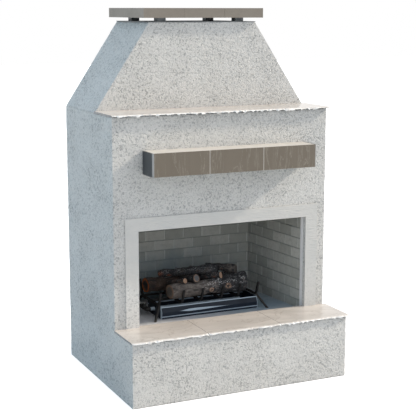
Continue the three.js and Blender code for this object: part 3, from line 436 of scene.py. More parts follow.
def soot_and_shade_cloud(wires, given):
    """Soot and painted shade that thin out from one place on the wall."""
    point = wires.point()
    away = wires.vector("DIVIDE", wires.vector("SUBTRACT", point, given["Centre"]), given["Reach"])
    far = wires.vector("LENGTH", away, result="Value")
    ragged = wires.sloped(wires.noise(point, 7.0, 4.0, 0.6), 0.7, far)
    mask = wires.times(wires.ramp(ragged, 1.35, 0.35), given["Amount"])
    return {"Color": wires.blend(mask, given["Colour"], given["Soot Colour"])}


def worn_edges(wires, given):
    """A paler tone where an edge is rubbed."""
    rounded = wires.node("ShaderNodeBevel", {"Radius": given["Radius"]}, samples=4).outputs[0]
    turn = wires.minus(1.0, wires.vector("DOT_PRODUCT", rounded, wires.normal(), result="Value"))
    patchy = wires.ramp(wires.noise(wires.point(), 60.0, 3.0, 0.6), 0.3, 0.7, 0.35, 1.0)
    mask = wires.times(wires.ramp(turn, 0.01, 0.12), patchy, given["Amount"])
    return {"Color": wires.blend(mask, given["Colour"], given["Worn Colour"])}


def handled_surface(wires, given):
    """Smudges, fine grain and streaks of a sheet or a painted bar."""
    smudge = wires.ramp(wires.noise(wires.point(), given["Smudge Scale"], 4.0, 0.6), 0.32, 0.7)
    grain = wires.noise(wires.stretched(given["Stretch"]), given["Grain Scale"], 3.0, 0.6)
    made = wires.blend(wires.times(smudge, given["Amount"]), given["Colour"], given["Smudge Colour"])
    rough = wires.sloped(smudge, given["Roughness Spread"], given["Roughness"])
    rough = wires.sloped(wires.minus(grain, 0.5), 0.12, rough)
    return {"Color": made, "Roughness": rough, "Height": grain}


def bark_colour(wires, given, scales, fine, patch, char):
    """The bark's own tones, with char in its furrows, ash scales and flakes that are partly painted
    highlight and sheen, burnt orange patches and knots.
    """
    point, furrow, burnt = wires.point(), wires.mark("furrow"), wires.mark("burnt")
    bark = wires.blend(wires.ramp(patch, 0.35, 0.65), given["Bark"], given["Old Bark"])
    bark = wires.blend(char, bark, given["Char"])
    bark = wires.blend(wires.ramp(furrow, 0.5, 0.08, 0.0, 0.8), bark, given["Char"])
    # Painted sheen: a pale ash tone on the scales.
    scaly = wires.times(wires.ramp(scales, 0.1, 0.3), wires.ramp(fine, 0.42, 0.6), given["Scale Amount"])
    bark = wires.blend(scaly, bark, given["Ash"])
    # Partly ash, partly painted highlight: pale flakes on the ridges, strongest on faces that turn up.
    ash_flake_and_highlight = wires.times(
        wires.ramp(fine, 0.53, 0.58),
        wires.ramp(furrow, 0.3, 0.6),
        wires.ramp(wires.noise(point, 34.0, 3.0, 0.6, 0.6), 0.42, 0.54),
        given["Ash Amount"],
        wires.ramp(burnt, 0.0, 0.35, 0.15, 1.0),
        wires.ramp(burnt, 0.85, 0.6, 0.3, 1.0),
        wires.ramp(wires.parts(wires.normal())["Z"], 0.0, 0.6, 0.25, 1.0),
    )
    bark = wires.blend(ash_flake_and_highlight, bark, dimmed(WHITE, 0.9))
    orange = wires.ramp(wires.noise(point, 34.0, 3.0, 0.6, 1.5), 0.62, 0.7)
    bark = wires.blend(wires.times(orange, given["Ember Amount"]), bark, given["Ember"])
    knot = wires.times(wires.mark("knot"), wires.ramp(fine, 0.44, 0.56, 0.0, 0.8))
    return wires.blend(knot, bark, given["Knot"])


def sawn_colour(wires, given, fine, patch):
    """A sawn end: rings of wood, its rim and a burnt core."""
    outward = wires.sloped(wires.minus(patch, 0.5), 0.8, wires.mark("outward"))
    rings = wires.maths("SINE", wires.sloped(outward, 30.0, wires.times(patch, 7.0)))
    wood = wires.blend(wires.ramp(rings, -0.6, 0.9, 0.0, 0.4), given["Wood"], given["Old Bark"])
    wood = wires.blend(wires.ramp(outward, 0.58, 0.8, 0.0, 0.9), wood, given["Rim"])
    core = wires.times(wires.ramp(outward, 0.72, 0.35), given["Core Amount"])
    wood = wires.blend(core, wood, given["Char"])
    return wires.blend(wires.ramp(fine, 0.52, 0.7, 0.0, 0.7), wood, given["Char"])


def charred_bark(wires, given):
    """Bark with furrows, char, ash on its ridges that is partly painted highlight, pale knots and sawn ends
    with rings.
    """
    point = wires.point()
    scales = wires.cell_walls(point, 78.0)
    fine = wires.noise(point, 210.0, 4.0, 0.7)
    patch = wires.noise(point, 24.0, 4.0, 0.65, 0.8)
    char = wires.ramp(wires.maths("ADD", wires.mark("burnt"), wires.sloped(patch, 0.9, -0.45)), 0.3, 0.62)
    bark = bark_colour(wires, given, scales, fine, patch, char)
    wood = sawn_colour(wires, given, fine, patch)
    return {
        "Color": wires.blend(wires.mark("sawn"), bark, wood),
        "Roughness": wires.sloped(char, -0.28, 0.92),
        "Height": wires.sloped(wires.ramp(scales, 0.0, 0.16), 0.8, wires.times(fine, 0.6)),
    }


# Each shared effect: what builds it, its outputs with their kinds, and its inputs with their first values.
EFFECTS = {
    "Dash grain": (
        dash_grain,
        {"Color": "Color", "Height": "Float"},
        {"Colour": WHITE, "Fleck Colour": GREY, "Dash": 0.015, "Flecks": 0.8},
    ),
    "Veining": (
        veining,
        {"Color": "Color", "Clouds": "Float"},
        {
            "Colour": WHITE,
            "Cloud Colour": GREY,
            "Vein Colour": GREY,
            "Stretch": EVEN,
            "Scale": 6.0,
            "Width": 0.03,
            "Strength": 0.6,
            "Clouds": 0.5,
        },
    ),
    "Brick tones": (
        brick_tones,
        {"Tone": "Float", "Level Joint": "Float", "Upright Joint": "Float"},
        {
            "Along": 0.0,
            "Up": 0.0,
            "Pitch": 0.146,
            "Course": 0.0723,
            "First Joint": 0.0,
            "First Course": 0.0,
            "Wall": 0.0,
        },
    ),
    "Soot cloud": (
        soot_and_shade_cloud,
        {"Color": "Color"},
        {"Colour": WHITE, "Soot Colour": GREY, "Centre": (0.0, 0.0, 0.0), "Reach": EVEN, "Amount": 0.5},
    ),
    "Worn edges": (
        worn_edges,
        {"Color": "Color"},
        {"Colour": WHITE, "Worn Colour": GREY, "Radius": 0.002, "Amount": 0.5},
    ),
    "Handled surface": (
        handled_surface,
        {"Color": "Color", "Roughness": "Float", "Height": "Float"},
        {
            "Colour": WHITE,
            "Smudge Colour": GREY,
            "Stretch": EVEN,
            "Smudge Scale": 8.0,
            "Grain Scale": 200.0,
            "Amount": 0.5,
            "Roughness": 0.5,
            "Roughness Spread": 0.1,
        },
    ),
    "Charred bark": (
        charred_bark,
        {"Color": "Color", "Roughness": "Float", "Height": "Float"},
        {
            **{tone: GREY for tone in ("Bark", "Old Bark", "Char", "Ash", "Wood", "Ember", "Rim", "Knot")},
            "Core Amount": 0.0,
            "Scale Amount": 0.2,
            "Ash Amount": 0.5,
            "Ember Amount": 0.5,
        },
    ),
}


def build_effects():
    """All shared effects, before the materials that use them."""
    for name, (build, outputs, inputs) in EFFECTS.items():
        shared_effect(name, build, outputs, inputs)


# Materials


def new_finish(name, **fixed):
    """A material with its shader, and the plain values that are the same all over."""
    material = bpy.data.materials.new(name)
    material.use_nodes = True
    shader = material.node_tree.nodes["Principled BSDF"]
    for socket, value in fixed.items():
        shader.inputs[socket.replace("_", " ")].default_value = value
    return material, Wires(material.node_tree), shader


def lay(wires, shader, tone, roughness, height, relief):
    """Gives a shader its colour, its roughness and its relief in metres."""
    wires.feed(shader.inputs["Base Color"], tone)
    wires.feed(shader.inputs["Roughness"], roughness)
    raised = wires.node("ShaderNodeBump", {"Height": height, "Distance": relief, "Strength": 1.0})
    wires.feed(shader.inputs["Normal"], raised.outputs["Normal"])


def stucco_finish(name, settings, pit_shade_amount, relief):
    """Dashed stucco, with as much painted shade in its pits as its wall shows."""
    material, wires, shader = new_finish(name)
    grain = wires.effect(
        "Dash grain",
        {
            "Colour": settings.wall,
            "Fleck Colour": settings.pit_shade,
            "Dash": settings.dash,
            "Flecks": pit_shade_amount,
        },
    ).outputs
    lay(wires, shader, grain["Color"], 0.92, grain["Height"], relief)
    return material


def stone_finish(name, settings):
    """Honed cream stone, with a paler rough break along its chipped edge that is partly painted highlight,
    and painted shade on its ends and under its lip.
    """
    material, wires, shader = new_finish(name, Specular_IOR_Level=0.5)
    veins = wires.effect(
        "Veining",
        {
            "Colour": settings.slab,
            "Cloud Colour": dimmed(settings.slab, 1.22),
            "Vein Colour": settings.vein,
            "Stretch": (0.6, 1.3, 1.0),
            "Scale": 3.6,
            "Width": 0.02,
            "Strength": 0.4,
            "Clouds": 0.8,
        },
    ).outputs
    # The broken edge is painted paler, partly as highlight; the ends and the rows under the lip get painted
    # shade.
    broken_and_highlit = wires.mark("broken_and_highlit")
    tone = wires.blend(broken_and_highlit, veins["Color"], settings.broken_and_highlit)
    tone = wires.blend(wires.mark("painted_shade"), tone, settings.painted_shade)
    polish = wires.sloped(wires.noise(wires.point(), 14.0, 3.0, 0.6), 0.14, 0.1)
    rough = wires.sloped(broken_and_highlit, 0.6, polish, clamp=True)
    pitted = wires.noise(wires.point(), 420.0, 3.0, 0.6)
    lay(wires, shader, tone, rough, wires.times(pitted, wires.sloped(broken_and_highlit, 1.0, 0.04)), 0.0016)
    return material


def grouted(wires, tone, joints, grout):
    """A tone with pale grout at the upright joints between tiles."""
    if joints:
        across = wires.parts(wires.point())["X"]
    for joint in joints:
        tone = wires.blend(wires.ramp(wires.apart(across, joint), 0.004, 0.002, 0.0, 0.75), tone, grout)
    return tone


def tile_finish(name, settings, face, stretch, scale, veined, joints=()):
    """Satin porcelain with fine printed veins, as strong as the tile shows them."""
    material, wires, shader = new_finish(name, Specular_IOR_Level=0.5)
    veins = wires.effect(
        "Veining",
        {
            "Colour": face,
            "Cloud Colour": dimmed(face, 0.9),
            "Vein Colour": settings.vein,
            "Stretch": stretch,
            "Scale": scale,
            "Width": 0.016,
            "Strength": veined,
            "Clouds": 0.6,
        },
    ).outputs
    edge = wires.effect(
        "Worn edges",
        {
            "Colour": veins["Color"],
            "Worn Colour": dimmed(face, 1.5),
            "Radius": 0.0015,
            "Amount": 0.3,
        },
    ).outputs
    tone = grouted(wires, edge["Color"], joints, settings.top)
    pressed = wires.noise(wires.point(), 300.0, 2.0, 0.5)
    lay(wires, shader, tone, wires.sloped(veins["Clouds"], 0.1, 0.42), pressed, 0.00025)
    return material


def plaster_finish(name, settings, stucco):
    """Smooth plaster with faint trowel marks, splashed with stucco low on its left."""
    material, wires, shader = new_finish(name)
    trowelled = wires.effect(
        "Handled surface",
        {
            "Colour": settings.face,
            "Smudge Colour": settings.mark,
            "Stretch": (0.4, 1.0, 1.6),
            "Smudge Scale": 5.0,
            "Grain Scale": 62.0,
            "Amount": 0.55,
            "Roughness": 0.7,
            "Roughness Spread": 0.1,
        },
    ).outputs
    # The splashed dashes bring the dash grain's painted shade in their pits.
    dashed = wires.effect(
        "Dash grain",
        {
            "Colour": stucco.wall,
            "Fleck Colour": stucco.pit_shade,
            "Dash": stucco.dash,
            "Flecks": 0.7,
        },
    ).outputs
    parts = wires.parts(wires.point())
    ragged = wires.sloped(wires.noise(wires.point(), 9.0, 3.0, 0.6), 0.5, parts["Z"])
    low = wires.ramp(ragged, settings.splash + 0.3, settings.splash + 0.15)
    low = wires.times(low, wires.ramp(parts["X"], 0.1, -0.1, 0.25, 0.85))
    tone = wires.blend(low, trowelled["Color"], dashed["Color"])
    height = wires.blend(low, trowelled["Height"], dashed["Height"])
    lay(wires, shader, tone, trowelled["Roughness"], height, 0.0045)
    return material


def brick_finish(name, settings, axis, first_joint, wall, floor_height, soot_and_shade_centre):
    """Cast brick pattern: a tone for each brick, pale upright joints, darker level ones, and a bluish
    darkening low on the back wall that is partly soot and partly painted shade.
    """
    material, wires, shader = new_finish(name, Specular_IOR_Level=0.3)
    point = wires.point()
    parts = wires.parts(point)
    bond = wires.effect(
        "Brick tones",
        {
            "Along": parts[axis],
            "Up": parts["Z"],
            "Pitch": settings.pitch,
            "Course": settings.course,
            "First Joint": first_joint,
            "First Course": floor_height + settings.first_course,
            "Wall": wall,
        },
    ).outputs
    mottle = wires.noise(point, 30.0, 5.0, 0.65)
    face = wires.blend(wires.ramp(bond["Tone"], 0.1, 0.9), settings.brick, settings.pale)
    face = wires.blend(wires.ramp(mottle, 0.4, 0.75, 0.0, 0.4), face, dimmed(settings.brick, 0.76))
    face = wires.blend(bond["Upright Joint"], face, settings.head)
    face = wires.blend(bond["Level Joint"], face, settings.joint)
    sooty = wires.effect(
        "Soot cloud",
        {
            "Colour": face,
            "Soot Colour": settings.soot_and_shade,
            "Centre": soot_and_shade_centre,
            "Reach": (0.9, 0.7, 0.42),
            "Amount": 0.62,
        },
    ).outputs
    height = wires.sloped(wires.noise(point, 240.0, 3.0, 0.6), 0.3, mottle)
    lay(wires, shader, sooty["Color"], wires.sloped(mottle, 0.2, 0.75), height, 0.0022)
    return material


def cast_floor_finish(name, settings, soot_and_shade_centre):
    """Cast refractory floor, darker under the grate and towards the right: partly soot, partly painted
    shade.
    """
    material, wires, shader = new_finish(name, Specular_IOR_Level=0.3)
    cast = wires.effect(
        "Handled surface",
        {
            "Colour": settings.floor,
            "Smudge Colour": dimmed(settings.floor, 0.72),
            "Smudge Scale": 6.0,
            "Grain Scale": 160.0,
            "Amount": 0.6,
            "Roughness": 0.78,
            "Roughness Spread": 0.12,
        },
    ).outputs
    sooty = wires.effect(
        "Soot cloud",
        {
            "Colour": cast["Color"],
            "Soot Colour": settings.soot_and_shade,
            "Centre": soot_and_shade_centre,
            "Reach": (0.6, 0.5, 0.4),
            "Amount": 0.75,
        },
    ).outputs
    lay(wires, shader, sooty["Color"], cast["Roughness"], cast["Height"], 0.0012)
    return material


def board_finish(name, face):
    """Cement board, with its pressed grain and dusty patches."""
    material, wires, shader = new_finish(name)
    pressed = wires.effect(
        "Handled surface",
        {
            "Colour": face,
            "Smudge Colour": dimmed(face, 0.8),
            "Smudge Scale": 5.0,
            "Grain Scale": 240.0,
            "Amount": 0.5,
            "Roughness": 0.85,
            "Roughness Spread": 0.1,
        },
    ).outputs
    lay(wires, shader, pressed["Color"], pressed["Roughness"], pressed["Height"], 0.001)
    return material


def steel_finish(name, face, worn, metallic, roughness, smudged, stretch=EVEN, wear=0.5):
    """Sheet or bar steel: its own grain, smudges, and edges where the coat is rubbed."""
    material, wires, shader = new_finish(name, Metallic=metallic)
    handled = wires.effect(
        "Handled surface",
        {
            "Colour": face,
            "Smudge Colour": dimmed(face, 0.7),
            "Stretch": stretch,
            "Smudge Scale": 11.0,
            "Grain Scale": 260.0,
            "Amount": smudged,
            "Roughness": roughness,
            "Roughness Spread": 0.14,
        },
    ).outputs
    edge = wires.effect(
        "Worn edges",
        {
            "Colour": handled["Color"],
            "Worn Colour": worn,
            "Radius": 0.0012,
            "Amount": wear,
        },
    ).outputs
    lay(wires, shader, edge["Color"], handled["Roughness"], handled["Height"], 0.0003)
    return material


def pan_finish(name, settings, low, high):
    """Blued sheet steel, with painted highlights along its rim, hem, corners, rear bend and the pressed rib
    in front.
    """
    material, wires, shader = new_finish(name, Specular_IOR_Level=0.3)
    parts = wires.parts(wires.point())
    tall = high.z - low.z
    along = wires.maths("DIVIDE", wires.minus(parts["X"], low.x), high.x - low.x)
    up = wires.minus(parts["Z"], low.z)
    # The front and the rear face lie within 20 mm of the pan's box.
    front = wires.ramp(parts["Y"], low.y + 0.024, low.y + 0.02)
    rear = wires.ramp(parts["Y"], high.y - 0.024, high.y - 0.02)
    # The masks below place painted highlights: a tapered streak on the rib, and lines along the rim, hem,
    # corners and rear bend.
    taper = wires.maths("MINIMUM", wires.ramp(along, 0.16, 0.3), wires.ramp(along, 0.78, 0.34))
    rib = wires.ramp(wires.sloped(taper, -0.0085, wires.apart(up, 0.56 * tall)), 0.0004, -0.0016)
    rib = wires.times(rib, wires.maths("GREATER_THAN", taper, 0.01))
    rim = wires.ramp(up, tall - 0.006, tall - 0.003)
    hem = wires.times(wires.ramp(up, 0.02, 0.018), wires.ramp(up, 0.011, 0.013), 0.8)
    corner = wires.times(wires.ramp(wires.apart(along, 0.5), 0.4925, 0.4955), 0.7)
    bend = wires.times(wires.ramp(wires.apart(up, 0.7 * tall), 0.005, 0.003), rear)
    painted_glint = wires.highest(wires.times(wires.highest(rib, rim, hem, corner), front), bend)
    smudged = wires.effect(
        "Handled surface",
        {
            "Colour": settings.pan,
            "Smudge Colour": dimmed(settings.pan, 0.5),
            "Stretch": (0.06, 1.0, 1.0),
            "Smudge Scale": 9.0,
            "Grain Scale": 260.0,
            "Amount": 0.7,
            "Roughness": 0.48,
            "Roughness Spread": 0.14,
        },
    ).outputs
    tone = wires.blend(painted_glint, smudged["Color"], settings.painted_glint)
    lay(wires, shader, tone, smudged["Roughness"], wires.sloped(rib, 4.0, smudged["Height"]), 0.0003)
    return material


def log_finish(name, settings, bark, old_bark, wood, rim, knot, **amounts):
    """Cast log: bark, char, ash and sawn ends.

    The amounts are those of the burnt core, the scales and the ash flakes, both partly painted highlight,
    and the burnt orange patches."""
    material, wires, shader = new_finish(name, Specular_IOR_Level=0.4)
    inputs = {
        "Bark": bark,
        "Old Bark": old_bark,
        "Char": settings.char,
        "Ash": settings.ash,
        "Wood": wood,
        "Ember": settings.ember,
        "Rim": rim,
        "Knot": knot,
    }
    inputs.update({f"{label.capitalize()} Amount": value for label, value in amounts.items()})
    burnt = wires.effect("Charred bark", inputs).outputs
    lay(wires, shader, burnt["Color"], burnt["Roughness"], burnt["Height"], 0.0035)
    return material


def dress(material, *names):
    """Gives CAD nodes a finish."""
    for name in names:
        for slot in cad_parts[name].material_slots:
            slot.material = material


# Meshes


# Three large odd numbers that spread neighbouring cells far apart before their bits are mixed.
SPREADERS = np.array((73856093, 19349663, 83492791))


def lumps(points, size, seed):
    """Smooth random values from -1 to 1, in lumps of one size."""
    cells = points / size + seed * 17.31
    low = np.floor(cells).astype(np.int64)
    part = cells - low
    ease = part * part * (3 - 2 * part)
    total = np.zeros(len(points))
    for corner in itertools.product((0, 1), repeat=3):
        key = (low + corner) @ SPREADERS
        key = (key ^ (key >> 13)) * 1274126177
        key = (key ^ (key >> 16)) & 0xFFFF
        weight = np.prod(np.where(corner, ease, 1 - ease), axis=1)
        total += weight * (key / 32767.5 - 1)
    return total


def soft_step(values, low, high):
    """0 below low, 1 above high, smooth between."""
    part = np.clip((values - low) / (high - low), 0, 1)
    return part * part * (3 - 2 * part)


def add_piece(name, points, faces, material, nodes, body="housing", values=None):
    """A new mesh that stands for CAD nodes."""
    mesh = bpy.data.meshes.new(name)
    mesh.from_pydata(np.asarray(points).tolist(), [], [list(map(int, face)) for face in faces])
    for label, data in (values or {}).items():
        layer = mesh.attributes.new(label, "FLOAT", "POINT")
        layer.data.foreach_set("value", np.asarray(data, np.float32))
    mesh.materials.append(material)
    mesh.shade_smooth()
    mesh.validate()
    made = bpy.data.objects.new(name, mesh)
    bpy.context.scene.collection.objects.link(made)
    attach(made, body)
    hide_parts(*nodes)
    return made


def face_grid(corners, across, up):
    """Points of a four-sided face from its lower left corner, its quads, and the way that it faces."""
    a, b, c, d = (np.array(corner, float) for corner in corners)
    columns = max(1, round(np.linalg.norm(b - a) / across))
    rows = max(1, round(np.linalg.norm(d - a) / up))
    u, v = np.meshgrid(np.linspace(0, 1, columns + 1), np.linspace(0, 1, rows + 1))
    u, v = u.reshape(-1, 1), v.reshape(-1, 1)
    points = a * (1 - u) * (1 - v) + b * u * (1 - v) + c * u * v + d * (1 - u) * v
    starts = (np.arange(rows)[:, None] * (columns + 1) + np.arange(columns)).reshape(-1, 1)
    quads = starts + np.array((0, 1, columns + 2, columns + 1))
    normal = np.cross(b - a, d - a)
    return points, quads, normal / np.linalg.norm(normal)


def coats(walls, relief):
    """Points, ways outward, corner marks and each wall's quads, of coats that meet without a gap.

    A wall is a list of faces. A point that lies on several planes moves along all their normals."""
    points, quads, planes, normals = [], [], [], []
    start = 0
    for wall, faces in walls.items():
        for corners, across, up in faces:
            face_points, face_quads, normal = face_grid(corners, across, up)
            known = [i for i, n in enumerate(normals) if np.allclose(n, normal, atol=1e-4)]
            if not known:
                normals.append(normal)
            plane = known[0] if known else len(normals) - 1
            points.append(face_points)
            quads.append((wall, face_quads + start))
            planes.append(np.full(len(face_points), plane))
            start += len(face_points)
    points, planes, normals = np.vstack(points), np.concatenate(planes), np.array(normals)
    _, first, key = np.unique(np.round(points, 5), axis=0, return_index=True, return_inverse=True)
    key = key.reshape(-1)
    pairs = np.unique(np.stack((key, planes), axis=1), axis=0)
    towards = np.zeros((len(first), 3))
    np.add.at(towards, pairs[:, 0], normals[pairs[:, 1]])
    corner = np.bincount(pairs[:, 0], minlength=len(first)) > 1
    flat = points[first]
    # Wide swells from the float, small ones from the dashes, and corners that are rubbed back a little.
    depth = 0.4 + 0.28 * lumps(flat, 0.075, 1) + 0.34 * lumps(flat, 0.018, 2) + 0.12 * corner
    moved = flat - towards * (np.clip(depth, 0.02, 1.0) * relief)[:, None]
    made = {}
    for wall, face_quads in quads:
        made.setdefault(wall, []).append(key[face_quads])
    return moved, towards, corner, {wall: np.vstack(parts) for wall, parts in made.items()}


def rimmed(points, towards, corner, quads, rim):
    """A coat's own points and faces, turned in along each free edge."""
    used, face = np.unique(quads, return_inverse=True)
    face = face.reshape(quads.shape)
    edges = np.vstack([face[:, [i, (i + 1) % 4]] for i in range(4)])
    _, back, count = np.unique(np.sort(edges, axis=1), axis=0, return_inverse=True, return_counts=True)
    free = edges[count[back.reshape(-1)] == 1]
    free = free[~(corner[used][free].all(axis=1))]
    lip, place = np.unique(free, return_inverse=True)
    place = place.reshape(free.shape) + len(used)
    own = points[used]
    inner = own[lip] - towards[used][lip] * rim
    sides = np.stack((free[:, 1], free[:, 0], place[:, 0], place[:, 1]), axis=1)
    return np.vstack((own, inner)), [*face, *sides]


def nodes_inner_edge(name):
    """Half width and top of the opening that a frame-shaped node leaves."""
    points = np.array([v.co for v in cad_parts[name].data.vertices])
    half = np.abs(points[:, 0]).min()
    top = points[np.abs(np.abs(points[:, 0]) - half) < 1e-4][:, 2].max()
    return float(half), float(top)


def wall_faces(settings):
    """The faces of every coat, from the CAD boxes: the corners of each, and its spacing across and up."""
    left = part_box("left_side_panel")[0].x
    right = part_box("right_side_panel")[1].x
    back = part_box("back_panel")[1].y
    hearth_low, hearth_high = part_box("hearth_front_panel")
    wall_low, wall_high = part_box("front_wall_panel")
    hood_low, hood_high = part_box("hood_front_panel")
    lid_low, lid_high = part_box("hood_lid")
    hearth_face, hearth_top = hearth_low.y, hearth_high.z
    wall_face, ledge = wall_low.y, wall_high.z
    hood_face, hood_top = hood_low.y, hood_high.z
    lap = hood_face - lid_low.y
    hood_left, hood_right = lid_low.x + lap, lid_high.x - lap
    half, opening_top = nodes_inner_edge("front_wall_panel")
    fine, coarse = settings.grid, settings.coarse_grid
    levels = [0.0, hearth_top, opening_top, ledge]
    columns = [left, -half, half, right]
    storeys = list(zip(levels, levels[1:]))

    def sheet(across, *corners):
        """A face with its spacing across, and the fine spacing upward."""
        return (corners, across, fine)

    def plumb(across, start, end, low, high):
        """An upright face over a line on the ground, between two heights."""
        (x0, y0), (x1, y1) = start, end
        return sheet(across, (x0, y0, low), (x1, y1, low), (x1, y1, high), (x0, y0, high))

    def hood(across, start, end, top_start, top_end):
        """A face from a line on the ledge up to a line at the hood's top."""
        foot = ((*start, ledge), (*end, ledge))
        return sheet(across, *foot, (*top_end, hood_top), (*top_start, hood_top))

    opening = (1, 1)
    return {
        "hearth_front": [plumb(fine, (left, hearth_face), (right, hearth_face), 0.0, hearth_top)],
        "front_wall": [
            plumb(fine, (columns[i], wall_face), (columns[i + 1], wall_face), levels[j], levels[j + 1])
            for i in range(3)
            for j in (1, 2)
            if (i, j) != opening
        ],
        "left_side": [
            plumb(fine, (left, wall_face), (left, hearth_face), 0.0, hearth_top),
            *(plumb(fine, (left, back), (left, wall_face), low, high) for low, high in storeys),
        ],
        "right_side": [
            plumb(fine, (right, hearth_face), (right, wall_face), 0.0, hearth_top),
            *(plumb(coarse, (right, wall_face), (right, back), low, high) for low, high in storeys),
        ],
        "back": [
            *(plumb(coarse, (right, back), (left, back), low, high) for low, high in storeys),
            hood(coarse, (right, back), (left, back), (hood_right, back), (hood_left, back)),
        ],
        "hood_front": [
            hood(
                fine,
                (left, hood_face),
                (right, hood_face),
                (hood_left, hood_face),
                (hood_right, hood_face),
            )
        ],
        "hood_left": [
            hood(fine, (left, back), (left, hood_face), (hood_left, back), (hood_left, hood_face))
        ],
        "hood_right": [
            hood(coarse, (right, hood_face), (right, back), (hood_right, hood_face), (hood_right, back))
        ],
    }


def slab_stations(low, high, spacing, inside_half):
    """The places of the cuts along a slab, and how far back the slab reaches at each.

    Where inside_half is given, it reaches its full depth only within that distance of the middle."""
    stations = np.linspace(low.x, high.x, max(2, round((high.x - low.x) / spacing)) + 1)
    if not inside_half:
        return stations, np.full(len(stations), high.y)
    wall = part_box("front_wall_panel")[0].y
    stops = np.clip([-inside_half, inside_half], low.x, high.x)
    stations = np.unique(np.concatenate((stations, stops, stops + np.sign(stops) * 1e-4)))
    stations = stations[(stations >= low.x - 1e-9) & (stations <= high.x + 1e-9)]
    return stations, np.where(np.abs(stations) <= inside_half + 1e-6, high.y, wall)


def slab_rows(stations, rear, low, high, chip, seed):
    """The rows of points round a slab: depth, height, how freshly broken and painted highlit, and whether
    painted shade darkens it.
    """
    at = np.stack((stations, np.zeros(len(stations)), np.zeros(len(stations))), axis=1)
    thick = high.z - low.z
    big = soft_step(lumps(at, 0.026, seed), -0.3, 0.45)
    small = soft_step(lumps(at, 0.0125, seed + 1), -0.4, 0.5)
    from_end = np.minimum(stations - low.x, high.x - stations)
    bite = chip * (np.clip(0.05 + 0.45 * big + 0.5 * small, 0, 1) + np.exp(-((from_end / 0.009) ** 2)))
    hang = soft_step(lumps(at, 0.02, seed + 3), -0.5, 0.5) - soft_step(lumps(at, 0.015, seed + 2), -0.1, 0.6)
    lift = thick * np.clip(0.1 + 0.6 * hang + 0.2 * small, -0.6, 0.7)
    # How strongly the broken edge is painted pale, partly as painted highlight.
    fresh_and_highlit = 0.5 + 0.5 * soft_step(lumps(at, 0.03, seed + 4), -0.6, 0.1)
    front = low.y + 0.0004
    return [
        (rear, low.z, 0, 0),
        (rear, high.z, 0, 0),
        (front + 0.03, high.z, 0, 0),
        (front + 0.003 + 0.9 * bite, high.z - 0.0003, 0.3 * fresh_and_highlit, 0),
        (front + 0.35 * bite, high.z - 0.0022 - 0.006 * small, fresh_and_highlit, 0),
        (front + 0.15 * bite, low.z + 0.25 * thick + 0.5 * lift, fresh_and_highlit, 0),
        (front + 0.5 * bite, low.z + lift, 0.8 * fresh_and_highlit, 0),
        # These three rows under the lip carry painted shade.
        (front + bite + 0.002, low.z + lift + 0.001, 0, 1),
        (front + bite + 0.01, low.z + 0.3 * lift, 0, 1),
        (front + bite + 0.016, low.z, 0, 1),
    ]


def slab(name, node, settings, material, seed, inside_half=0.0):
    """A stone slab cut in stations along its length, with a chipped front edge and sawn ends."""
    low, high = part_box(node)
    stations, rear = slab_stations(low, high, settings.station, inside_half)
    rows = slab_rows(stations, rear, low, high, settings.chip, seed)
    count, ring = len(stations), len(rows)
    points = np.stack([np.stack(np.broadcast_arrays(stations, y, z), axis=1) for y, z, _, _ in rows], axis=1)
    broken_and_highlit = np.stack([np.broadcast_to(mark, count) for _, _, mark, _ in rows], axis=1).ravel()
    painted_shade = np.tile([mark for _, _, _, mark in rows], count)
    quads = []
    for i, j in itertools.product(range(count - 1), range(ring)):
        after = (j + 1) % ring
        quads.append((i * ring + j, (i + 1) * ring + j, (i + 1) * ring + after, i * ring + after))
    ends = count * ring
    quads.append(tuple(range(ends, ends + ring)))
    quads.append(tuple(reversed(range(ends + ring, ends + 2 * ring))))
    points = np.vstack((points.reshape(-1, 3), points[0], points[-1]))
    # The two end caps get painted shade all over.
    values = {
        "broken_and_highlit": np.concatenate((broken_and_highlit, np.zeros(2 * ring))),
        "painted_shade": np.concatenate((painted_shade, np.ones(2 * ring))),
    }
    crease(add_piece(name, points, quads, material, [node], values=values), degrees=40)


def crease(piece, degrees):
    """Sharp edges where faces meet at more than an angle, and outward normals."""
    shape = bmesh.new()
    shape.from_mesh(piece.data)
    bmesh.ops.recalc_face_normals(shape, faces=shape.faces)
    limit = math.radians(degrees)
    for edge in shape.edges:
        if len(edge.link_faces) == 2 and edge.calc_face_angle(0.0) > limit:
            edge.smooth = False
    shape.to_mesh(piece.data)
    shape.free()


def remeshed(node, voxel):
    """The points, normals and faces of a CAD node, made again in small even cells."""
    source = bpy.data.objects.new("remesh_source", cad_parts[node].data.copy())
    bpy.context.scene.collection.objects.link(source)
    cells = source.modifiers.new("cells", "REMESH")
    cells.mode = "VOXEL"
    cells.voxel_size = voxel
    done = source.evaluated_get(bpy.context.evaluated_depsgraph_get())
    mesh = bpy.data.meshes.new_from_object(done)
    bpy.data.objects.remove(source)
    points = np.array([v.co for v in mesh.vertices])
    normals = np.array([v.normal for v in mesh.vertices])
    faces = [tuple(face.vertices) for face in mesh.polygons]
    bpy.data.meshes.remove(mesh)
    return points, normals, faces


def sawn_ends(points, normals, along, axis):
    """Marks of a log's sawn ends, and how far out from the middle of its end each point lies."""
    near = np.minimum(along - along.min(), along.max() - along)
    sawn = soft_step(np.abs(normals @ axis), 0.55, 0.85) * soft_step(near, 0.03, 0.018)
    outward = np.zeros(len(points))
    for side in (along < 0, along >= 0):
        face = points[(sawn > 0.5) & side]
        centre = face.mean(axis=0)
        widest = np.linalg.norm(face - centre, axis=1).max()
        outward[side] = np.linalg.norm(points[side] - centre, axis=1) / widest
    return sawn, np.clip(outward, 0, 1.5)


def knot_marks(points, knots, seed):
    """Marks of knots. A knot is a place, its radius and the width of its ring."""
    marks = np.zeros(len(points))
    for place, radius, width in knots:
        gap = np.linalg.norm(points - place, axis=1) + 0.2 * width * lumps(points, 0.012, seed)
        marks = np.maximum(marks, np.exp(-(((gap - radius) / width) ** 2)))
    return marks


